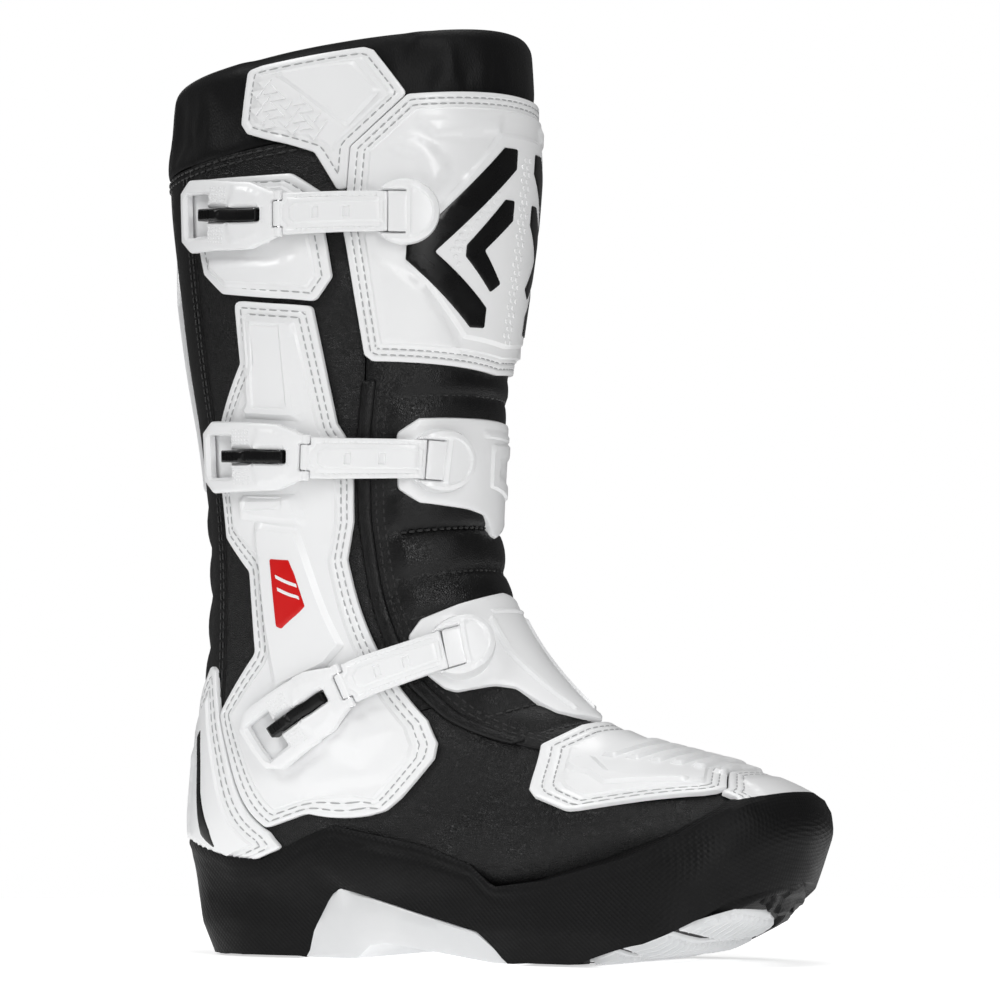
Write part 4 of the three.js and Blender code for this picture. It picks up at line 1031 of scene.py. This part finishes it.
def heel():
    chart = SkinChart(1.0, 0.85)
    half = [(109.5, 58), *HEEL_SIDE]
    outline = [*half, (158, 133), (180, 128), (202, 133), *shifted(mirrored(half), 360)]
    fin = [(150, 118), (166, 122), (180, 118), (194, 122), (210, 118), (204, 84), (180, 78), (156, 84)]
    stripe = [(141, 124), (146, 122), (140, 84), (133, 74), (133, 84), (138, 100)]
    plate("heel_shell", outline, "heel_cup", chart, rows=(2.9, 5.4), raised=[(fin, 1.1, 3.0, 2.0)], corner=2.5,
          spacing=2.2, field=tucked)
    top = PLATE_FLOOR + PLATE_THICK + 0.7
    for side, shape in (("outer", stripe), ("inner", shifted(mirrored(stripe), 360))):
        relief(f"heel_stripe_{side}", chart, shape, "black_plastic", 0.7, top - 0.3, edge=0.3, spacing=1.6,
               corner=0.8)


def toe():
    outline = [*mirrored(TOE_SEAM), *mirrored(TOE_REAR)[1:], *TOE_REAR, *TOE_SEAM[1:]]
    ribs = []
    for k in range(6):
        back, wide = 37 - 12.6 * k, 33 - 2.6 * k
        ribs.append(([(-wide, back - 6), (0, back), (wide, back - 6), (wide - 1, back - 14), (0, back - 8.5),
                      (1 - wide, back - 14)], 1.5, 1.0, 0.5))
    facet = [(45, 34), (34, 40), (35, 30), (43, 8), (43, -8), (34, -34), (39, -36), (53, -3), (48, 15), (48, 24)]
    facets = [(handed(facet, sign), 1.7, 1.6, 0.4) for sign in (1, -1)]
    plate("toe_shell", outline, "toe_plate", TOE, raised=ribs + facets, spacing=1.9)
    cap_side = [*shifted(TOE_SEAM, 0, -1.2)[::-1], (37, -57), (39, -68), (52, -83), (70, -104)]
    cap = [*mirrored(cap_side), *cap_side]
    relief("toe_cap_shell", TOE, cap, spacing=1.9, node="toe_cap",
           raised=[([(-20, -52), (20, -52), (24, -66), (40, -92), (-40, -92), (-24, -66)], 0.7, 2.0, 2.0)],
           grooves=[(2.9, 0.5, 0.75), (5.5, 0.5, 0.75)], field=tucked)
    border_stitches("toe_cap", TOE, cap, (2.9, 5.5), 2.0)


PAD_THICK = 3.6


def pads():
    window = [(1, 219.5), (-25, 221.5), (-50, 219), (-50, 198), (-24, 195.5), (1, 199.5)]
    glass = [(-5.5, 214), (-25, 216), (-45, 213.5), (-45, 203), (-24, 201), (-5.5, 204.5)]
    lip = [(8, 225), (-52, 225.5), (-52, 222), (6, 221.5)]
    cuff = [(window, 1.1, 1.2, 1.0), (glass, -0.9, 1.6, 1.0), (lip, 0.6, 1.0, 0.5)]
    outline = [(0, 68), *INSTEP_SIDE, (0, 149), *mirrored(INSTEP_SIDE)]
    ridge = [(15, 137), (19, 134), (20, 115), (11, 77), (7, 76), (15, 115)]
    brow = [(16, 139.5), (-16, 139.5), (-14, 136.5), (14, 136.5)]
    instep = [*((handed(ridge, sign), 1.2, 1.3, 1.0) for sign in (1, -1)), (brow, 0.9, 1.0, 0.6)]
    for name, chart, shape, corner, node, raised in (
        ("ankle_cuff_pad", SHAFT, CUFF_PAD, 3.5, "ankle_cuff", cuff),
        ("instep_buckle_pad", INSTEP, outline, 4.0, "instep_pad", instep),
    ):
        made = relief(name, chart, shape, thick=PAD_THICK, edge=1.6, corner=corner, node=node, raised=raised,
                      field=cushion)


def tucked(places, rim):
    """Lets a plate thin out where it runs down behind the sole's wall."""
    at = skin_point(places[:, 0], places[:, 1])
    return -4.0 * smooth_step((along_x(WALL_TOP, at[:, 0]) - at[:, 2] + 0.5) / 3)


def cushion(places, rim):
    return 0.5 * smooth_step(rim / 14) - 0.2


# ---------------------------------------------------------------- sole
SOLE_PLAN = [
    (-40, 0), (-31, -25), (-2, -37.5), (45, -40), (95, -45), (150, -54), (195, -55), (232, -45), (255, -20),
    (261, 8), (252, 37), (225, 54), (175, 58), (110, 52), (50, 42), (-2, 37.5), (-31, 25),
]
WALL_TOP = [
    (-50, 61), (-30, 50), (0, 43), (22, 42), (44, 52), (58, 57), (98, 49), (122, 41), (134, 32), (160, 35),
    (195, 44), (225, 55), (248, 69), (270, 74),
]
TREAD = [(-50, 2), (-34, 0), (60, 0), (68, 6), (76, 7), (132, 0), (176, 0), (205, 5), (235, 17), (270, 40)]
WAIST = [(29.5, -5), (48, 27), (54, 30), (70, 26), (94, 20), (125, 13), (133, 7), (146, -5)]
WAIST_FROM, WAIST_TO = WAIST[0][0], WAIST[-1][0]
UNDERCUT, HEEL_UNDERCUT, TOE_UNDERCUT, SHOULDER = 4.0, 9.0, 14.0, 14.0
WALL_LIP, HEEL_LIP, CAP_LIP = 1.5, 3.9, 2.9  # how far the wall stands out from the leather
TOE_RISE = 4.5  # how far the wall's lower edge lifts off the tread ahead of the ball
SOLE_MIDDLE = np.array([110.0, 2.0])


def along_x(line, x):
    xs, zs = np.array(line, float).T
    return np.interp(x, xs, zs)


def sole_ring(count=288):
    """The plan of the sole as evenly numbered points, with their inward directions."""
    p = np.array(SOLE_PLAN, float)
    t = np.arange(count) * len(p) / count
    k = t.astype(int)
    ring = through(*(p[(k + step) % len(p)] for step in (-1, 0, 1, 2)), (t - k)[:, None])
    inward = SOLE_MIDDLE - ring
    return ring, inward / np.linalg.norm(inward, axis=1, keepdims=True)


def foot_cloud():
    turn, level = np.meshgrid(np.arange(0, 360, 1.5), np.arange(TOE_TIP, 150, 1.5))
    return skin_point(turn, level).reshape(-1, 3)


def ahead_of(x, height):
    """How far the toe leans in at a height."""
    return smooth_step((x - 205) / 56) * TOE_UNDERCUT * np.clip((66 - height) / 45, 0, 1) ** 1.4


def shrunk(ring, inward, by, height):
    """The plan moved inwards, and forward behind the heel, more the lower it is."""
    behind = np.clip((10 - ring[:, 0]) / 50, 0, 1) * HEEL_UNDERCUT * np.clip((48 - height) / 48, 0, 1)
    return ring + inward * by[:, None] + np.stack([behind, 0 * behind], 1)


def wall_surface(ring, inward, height, cloud, crown=0.0):
    """The wall at one height for each ring point: the plan there, how far a lip over the leather pushes it out,
    and how far its inner face lies in."""
    x = ring[:, 0]
    share = np.clip((SHOULDER - height) / SHOULDER, 0, 1.2)
    base = shrunk(ring, inward, UNDERCUT * share + ahead_of(x, height) + crown, height)
    over_cap = smooth_step((x - 208) / 18) * smooth_step((height - along_x(WALL_TOP, x) + 9) / 6)
    lip = np.interp(x, [18, 30], [HEEL_LIP, WALL_LIP]) + CAP_LIP * over_cap
    tangent = np.stack([-inward[:, 1], inward[:, 0]], 1)
    out = np.full(len(ring), -3.5)
    for k in range(len(ring)):
        near = cloud[np.abs(cloud[:, 2] - height[k]) < 1.6][:, :2] - base[k]
        near = near[np.abs(near @ tangent[k]) < 2.5]
        if len(near):
            out[k] = float(np.max(-near @ inward[k])) + lip[k]
    return base, np.clip(out, 0, 9), 1.5 + np.clip(-out, 3.5, 12)


def toe_rise(x, y):
    """How far the wall's lower edge lifts off the tread, more on the buckle side."""
    return TOE_RISE * smooth_step((x - 168) / 36) * smooth_step((262 - x) / 22) * np.where(y < 0, 1.0, 0.6)


def sole():
    ring, inward = sole_ring()
    cloud = foot_cloud()
    x = ring[:, 0]
    top = along_x(WALL_TOP, x)
    arch = along_x(WAIST, x) * ((x > WAIST_FROM) & (x < WAIST_TO))
    low = np.maximum(along_x(TREAD, x) + toe_rise(*ring.T), arch + 0.4)
    heights = [low + (top - low) * share for share in np.linspace(0, 1, 17)]
    bases, pushes, reaches = [], [], []
    for height in heights:
        crown = 9.0 * smooth_step((x - 200) / 40) * np.clip((height - top + 22) / 22, 0, 1) ** 2
        base, push, reach = wall_surface(ring, inward, height, cloud, crown)
        bases.append(base)
        pushes.append(blurred(push, 4))
        reaches.append(blurred(reach + WALL_LIP, 2))
    pushes = np.array(pushes)
    exact = pushes.copy()
    for _ in range(3):
        pushes[1:-1] = (pushes[:-2] + 2 * pushes[1:-1] + pushes[2:]) / 4
    pushes = np.maximum(pushes, exact - 0.5)
    outer, inner = [], []
    for height, base, push, reach in zip(heights, bases, pushes, reaches):
        groove = 0.9 * (np.exp(-(((top - height) - 5.5) / 0.9) ** 2) + np.exp(-((top - height) / 0.8) ** 2))
        surface = base + inward * (groove + heel_groove(x, height) - push)[:, None]
        outer.append(np.column_stack([surface, height]))
        inner.append(np.column_stack([surface + inward * reach[:, None], height]))
    shell, faces = grid_shell(np.array(outer), np.array(inner))
    piece("outsole_wall", shell, faces, "black_rubber", BODY, 40, "outsole")
    tread_pieces(ring, inward)
    arch_piece(cloud)


def blurred(values, reach):
    weights = np.exp(-(np.arange(-reach, reach + 1) / reach) ** 2)
    weights /= weights.sum()
    return sum(w * np.roll(values, k) for w, k in zip(weights, range(-reach, reach + 1)))


def heel_groove(x, height):
    """The depth of the slanting groove over the heel block, and of the strut ahead of it."""
    slant = height - (33 - 0.28 * (x + 40))
    heel_line = np.exp(-((slant / 0.8) ** 2)) * (x < 16)
    strut = np.exp(-(((height - 22) - 1.25 * (x - 24)) / 1.1) ** 2) * (x > 10) * (x < 34) * (height < 32)
    return 0.8 * np.maximum(heel_line, strut)


class TreadChart(Chart):
    """The underside as a sheet in x and y; lift goes down from the tread, which rises near the toe's edge."""

    def __init__(self, edge):
        self.edge = edge

    def at(self, uv, lift):
        x, y = uv.T
        near_edge = smooth_step((24 - closest(uv, self.edge)) / 24)
        floor = along_x(TREAD, x) + toe_rise(x, y) * near_edge
        return np.column_stack([x, y, np.maximum(floor - lift, 0.0)])


def tread_pieces(ring, inward):
    ahead = ahead_of(ring[:, 0], along_x(TREAD, ring[:, 0]))
    edge = shrunk(ring, inward, UNDERCUT + 0.6 + ahead, 0)
    chart = TreadChart(edge)
    heel_lugs = [([(a, b), (a + 12, b + 2), (a + 12, b + 11), (a, b + 9)], 2.0, 1.0, 0.8)
                 for a in (-22, -5, 12) for b in (-32, -16, 0, 16)]
    fore_lugs = [([(a, b), (a + 9, b + 3), (a + 9, b + 14), (a, b + 11)], 2.0, 1.0, 0.8)
                 for a in (150, 163) for b in (-46, -29, -12, 5, 22, 38)]
    rim = [(150, 44), (176, 46), (204, 45), (224, 35), (237, 16), (239, -8), (245, -10), (243, 16), (230, 39),
           (206, 51), (176, 52), (150, 50)]
    front_lugs = [([(239, b), (243, b), (243, b + 12), (239, b + 12)], 1.6, 0.8, 0.6) for b in (-14, 1, 16)]
    for name, part, (x, y), lugs in (
        ("heel", edge[edge[:, 0] < 29.0], (-20, 0), heel_lugs),
        ("forefoot", edge[edge[:, 0] > WAIST_TO], (190, 2), [*fore_lugs, (rim, 2.6, 1.2, 1.0), *front_lugs]),
    ):
        part = part[np.argsort(np.arctan2(part[:, 1] - y, part[:, 0] - x))]
        relief(f"{name}_tread", chart, part, "black_rubber", 6.0, -8.0, edge=1.2, spacing=2.6, corner=0,
               raised=lugs, node="outsole")
    lenses = [
        [(176, -46), (190.5, -49), (192, 0), (190.5, 42), (182, 40), (176, 0)],
        [(193, -49.5), (202, -50), (213.5, -46.5), (215, 0), (213, 39), (205, 42), (193, 42), (194.5, 0)],
        [(216, -45.5), (229, -37), (235, -24), (237, 2), (231, 20), (216, 36), (217.5, 0)],
    ]
    for k, lens in enumerate(lenses):
        low_x, high_x = min(x for x, _ in lens) + 2.5, max(x for x, _ in lens) - 2.5
        bars = [([(low_x, b), (high_x, b + 1.2), (high_x, b + 3.6), (low_x, b + 2.4)], 2.0, 0.8, 0.3)
                for b in np.arange(-47, 42, 5.2)]
        relief(f"tread_grip_{k}", chart, lens, "white_rubber", 1.8, -2.6, edge=0.7, spacing=1.5, raised=bars,
               node=None if k else "tread_insert")


def arch_piece(cloud):
    """The pale insert through the waist: two side walls that show, and a bridge between them."""
    ring, inward = sole_ring(720)
    rows = []
    wall, bridge = 33.0, 14.0
    for x in np.arange(WAIST_FROM + 1, WAIST_TO - 0.5, 1.5):
        floor, high = along_x(TREAD, x) - 0.1, max(along_x(WAIST, x), along_x(TREAD, x) + 0.6)
        ringed = []
        for sign in (-1, 1):
            on_side = np.sign(ring[:, 1] - 0.1) == sign
            k = np.flatnonzero(on_side)[np.argmin(np.abs(ring[on_side, 0] - x))]
            column = []
            for share in (0.0, 0.08, 0.35, 0.65, 0.92, 1.0):
                height = np.array([floor + (high - floor) * share])
                base, push, _ = wall_surface(ring[k:k + 1], inward[k:k + 1], height, cloud)
                y = (base - inward[k] * push[:, None])[0, 1]
                trim = 0.9 if share in (0.0, 1.0) else 0.1
                column.append((y - sign * trim, height[0]))
            ringed.append(column)
        low_bridge = min(bridge, high)
        near = [*ringed[0], (-wall, high), (-wall, low_bridge)]
        far = [*ringed[1], (wall, high), (wall, low_bridge)]
        rows.append([(x, y, z) for y, z in near + far[::-1]])
    rings = np.array(rows)
    index = np.arange(rings.shape[0] * rings.shape[1]).reshape(rings.shape[:2])
    onward = np.roll(index, -1, 1)
    quads = np.stack([index[:-1], onward[:-1], onward[1:], index[1:]], -1).reshape(-1, 4)[:, ::-1]
    faces = [*quads.tolist(), index[0].tolist(), index[-1][::-1].tolist()]
    piece("arch_bridge", rings.reshape(-1, 3), faces, "white_rubber", BODY, 40, "arch_insert")


# ---------------------------------------------------------------- closures
PAD_TOP = {"top": 3.0, "mid": 4.0, "low": 4.0}
BASE_TOP, LEVER_FLOOR, LEVER_TOP, AXIS = 5.0, 6.1, 10.1, 8.1
STRAP_WIDTH, STRAP_THICK, MOUTH_AT, DISC_RADIUS = 17.0, 2.4, 8.0, 14.0
ROOT_RADIUS = 1.25  # the round end of a strap, flush with its faces
LEVER_LENGTH, LEVER_HALF, LEVER_NECK, BARREL = 52.0, 16.0, 10.0, 2.1
LATCH_FROM, LATCH_LENGTH, LATCH_HALF = 9.5, 30.0, 2.6


def bar(name, chart, s, middle, half, radius, body):
    """A turned white bar with chamfered ends that lies across a closure at the height of its hinge."""
    sides, chamfer = 28, 0.4
    _, point, across, out = chart.frame(np.array([s]))
    origin, axis = point[0] + out[0] * AXIS, across[0]
    side = np.cross(axis, [0.3, 0.2, 0.9])
    side /= np.linalg.norm(side)
    turns = 2 * math.pi * np.arange(sides)[:, None] / sides
    round_by = np.cos(turns) * side + np.sin(turns) * np.cross(axis, side)
    profile = [(-half, radius - chamfer), (chamfer - half, radius), (half - chamfer, radius),
               (half, radius - chamfer)]
    points = np.concatenate([origin + axis * (middle + at) + round_by * size for at, size in profile])
    piece(name, points, tube_faces(len(profile), sides), "white_tpu", body, 40)


def closure(key):
    chart = StripChart(CLOSURES[key])
    pin_at, end = chart.length - LEVER_LENGTH, chart.length
    strap = f"strap_{key}"
    dial(key, chart, PAD_TOP[key])
    half, knuckle = STRAP_WIDTH / 2, 5.4
    shoulder = pin_at - BARREL - 0.4
    outline = [(MOUTH_AT - 0.2, -half), (shoulder, -half - 0.4), (shoulder, -knuckle), (pin_at, -knuckle),
               (pin_at, knuckle), (shoulder, knuckle), (shoulder, half + 0.4), (MOUTH_AT - 0.2, half)]
    centre_band = [(MOUTH_AT, -half + 4), (shoulder - 6, -half + 4), (shoulder - 3, -half + 6),
                   (shoulder - 3, half - 6), (shoulder - 6, half - 4), (MOUTH_AT, half - 4)]
    dents = [(rectangle(s, s + 3, 2.6), -0.7, 0.4, 0.4)
             for s in (MOUTH_AT + share * (shoulder - MOUTH_AT) for share in (0.32, 0.62))]
    relief(f"{strap}_band", chart, outline, "white_tpu", STRAP_THICK, AXIS - STRAP_THICK / 2, edge=0.7, spacing=1.6,
           corner=0.6, raised=[(centre_band, 0.6, 0.8, 0.8), *dents], grooves=[(2.2, 0.35, 0.6)], body=strap,
           node=strap)
    bar(f"{strap}_root", chart, MOUTH_AT, 0, half, ROOT_RADIUS, strap)
    bar(f"{strap}_knuckle", chart, pin_at, 0, knuckle, BARREL, strap)
    serrations = [[(s, -half + 0.6), (s + 1.0, -half + 0.6), (s + 1.0, -half + 2.0), (s, -half + 2.0)]
                  for s in np.arange(MOUTH_AT + 3, shoulder - 5, 2.2)]
    serrations += [[(s, -t) for s, t in shape] for shape in serrations]
    studs(f"{strap}_teeth", chart, serrations, AXIS + STRAP_THICK / 2, 0.12, 0.2, body=strap)
    lever_piece(key, chart, pin_at, end, f"lever_{key}")
    latch_piece(chart, pin_at, f"latch_{key}")
    hook_at = pin_at + LATCH_FROM + LATCH_LENGTH - 3
    relief(f"buckle_{key}_base", chart, rectangle(pin_at + 6.1, end - 2, LEVER_HALF - 4), "white_tpu",
           BASE_TOP - 3.0, 3.0, edge=0.5, spacing=1.8, corner=1.5, node=f"buckle_base_{key}",
           raised=[(rectangle(hook_at - 3.5, hook_at - 0.5, 2.3), 1.2, 0.5, 0.2)])


def dial(key, chart, pad_top):
    """The round adjuster: a low puck with a raised rim, the slot for the strap, and the strap's fixed tongue."""
    top = max(pad_top + 7.2, AXIS + STRAP_THICK)
    circle = ring_of((0, 0), DISC_RADIUS, 48)
    mouth_half, mouth_from = STRAP_WIDTH / 2 + 0.3, 0.4
    relief(f"adjuster_{key}_seat", chart, circle, "white_tpu", 2.4, pad_top - 0.2, edge=0.9, spacing=1.8, corner=0,
           node=f"adjuster_disc_{key}")
    cap = [p for p in circle if not (p[0] > mouth_from and abs(p[1]) < mouth_half)]
    reach = math.sqrt(DISC_RADIUS**2 - mouth_half**2)
    cap = sorted(cap, key=lambda p: math.atan2(p[1], p[0]) % (2 * math.pi))
    loop = [(reach, mouth_half), *map(tuple, cap), (reach, -mouth_half), (mouth_from, -mouth_half),
            (mouth_from, mouth_half)]
    inner_ring = [p for p in ring_of((0, 0), DISC_RADIUS - 3.0, 40) if not p[0] > mouth_from - 2]
    relief(f"adjuster_{key}_cap", chart, loop, "white_tpu", top - pad_top - 1.6, pad_top + 1.6, edge=3.0, spacing=1.5,
           corner=0, raised=[(inner_ring, -0.5, 0.7, 0.3)])
    tongue = rectangle(mouth_from - 1.5, MOUTH_AT - ROOT_RADIUS - 0.15, STRAP_WIDTH / 2)
    relief(f"adjuster_{key}_tongue", chart, tongue, "white_tpu", STRAP_THICK, AXIS - STRAP_THICK / 2, edge=0.3,
           spacing=1.5, corner=0.3)


def lever_piece(key, chart, pin_at, end, body):
    """The lever's frame round its opening, its two ears on the pin, and its grip."""
    fork, half = 5.9, LEVER_HALF
    outline = [
        (pin_at, -LEVER_NECK + 0.6), (pin_at + 3, -LEVER_NECK - 0.4), (pin_at + 13, -half + 1.6),
        (end - 6, -half + 0.2), (end, -half + 5.5), (end, half - 5.5), (end - 6, half - 0.2), (pin_at + 13, half - 1.6),
        (pin_at + 3, LEVER_NECK + 0.4), (pin_at, LEVER_NECK - 0.6), (pin_at, fork),
        (pin_at + BARREL + 0.4, fork), (pin_at + BARREL + 0.4, -fork), (pin_at, -fork),
    ]
    slot, window_from = 3.0, end - 16.5
    opening = [(pin_at + 8, -slot), (window_from, -slot), (window_from, -9), (end - 4, -9.5), (end - 4, 9.5),
               (window_from, 9), (window_from, slot), (pin_at + 8, slot)]
    shield = [(pin_at + 6, -LEVER_NECK + 1), (pin_at + 14, -half + 3.6), (pin_at + 22, -half + 3), (pin_at + 25, -5),
              (pin_at + 25, 5), (pin_at + 22, half - 3), (pin_at + 14, half - 3.6), (pin_at + 6, LEVER_NECK - 1)]
    relief(f"lever_{key}_frame", chart, outline, "white_tpu", LEVER_TOP - LEVER_FLOOR, LEVER_FLOOR, edge=1.3,
           spacing=1.5, corner=1.6, holes=[opening], raised=[(shield, 0.8, 2.2, 1.2)], body=body,
           node=f"buckle_lever_{key}")
    for ear, side in (("a", -1), ("b", 1)):
        bar(f"lever_{key}_ear_{ear}", chart, pin_at, side * (fork + LEVER_NECK) / 2, (LEVER_NECK - fork) / 2 - 0.05,
            BARREL, body)
    rails = [ring_of((s, side * t), 0.55, 4, 45) for side in (-1, 1)
             for s in np.arange(pin_at + 26, window_from - 1.5, 1.5) for t in np.arange(5.6, half - 3.2, 1.5)]
    studs(f"lever_{key}_grip", chart, rails, LEVER_TOP - 0.02, 0.3, 0.25, body=body)


def latch_piece(chart, pin_at, body):
    """The small black latch: a bar with a ridged ramp at its end, and a hook under it."""
    start, stop = pin_at + LATCH_FROM, pin_at + LATCH_FROM + LATCH_LENGTH
    half, floor, thick = LATCH_HALF, AXIS - 1.4, 4.3
    ramp = rectangle(start + 18, stop - 0.4, half)
    relief(f"{body}_bar", chart, rectangle(start, stop, half), "black_plastic", thick, floor, edge=0.5, spacing=1.2,
           corner=0.6, raised=[(ramp, 0.9, 0.8, 0.4)], body=body, node=body)
    relief(f"{body}_hook", chart, rectangle(stop - 3, stop, half), "black_plastic", 2.4, 5.4, edge=0.3, spacing=1.0,
           corner=0.4, body=body)
    ridges = [rectangle(s, s + 0.7, half - 0.5) for s in np.arange(stop - 7, stop - 1.2, 1.5)]
    studs(f"{body}_grip", chart, ridges, floor + thick + 0.85, 0.25, 0.2, "black_plastic", body)


# ---------------------------------------------------------------- build
KEPT = {
    "toe_box": "black_plastic", "heel_counter": "black_plastic", "insole_board": "grey_board",
    "steel_shank": "steel",
    **{f"{pin}_pin_{key}": "steel" for pin in ("buckle", "latch") for key in CLOSURES},
}


def dress_kept_nodes():
    """Gives each CAD node that stays its own finish."""
    for name, look in KEPT.items():
        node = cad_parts[name]
        if not node.material_slots:
            node.data.materials.append(LOOKS[look])
        for holder in node.material_slots:
            holder.material = LOOKS[look]


for make in (camera, studio, upper, collar, inside_of_boot, shin, collar_side, side_plates, heel, toe, pads, sole):
    make()
for key in CLOSURES:
    closure(key)
dress_kept_nodes()

bpy.context.view_layer.update()
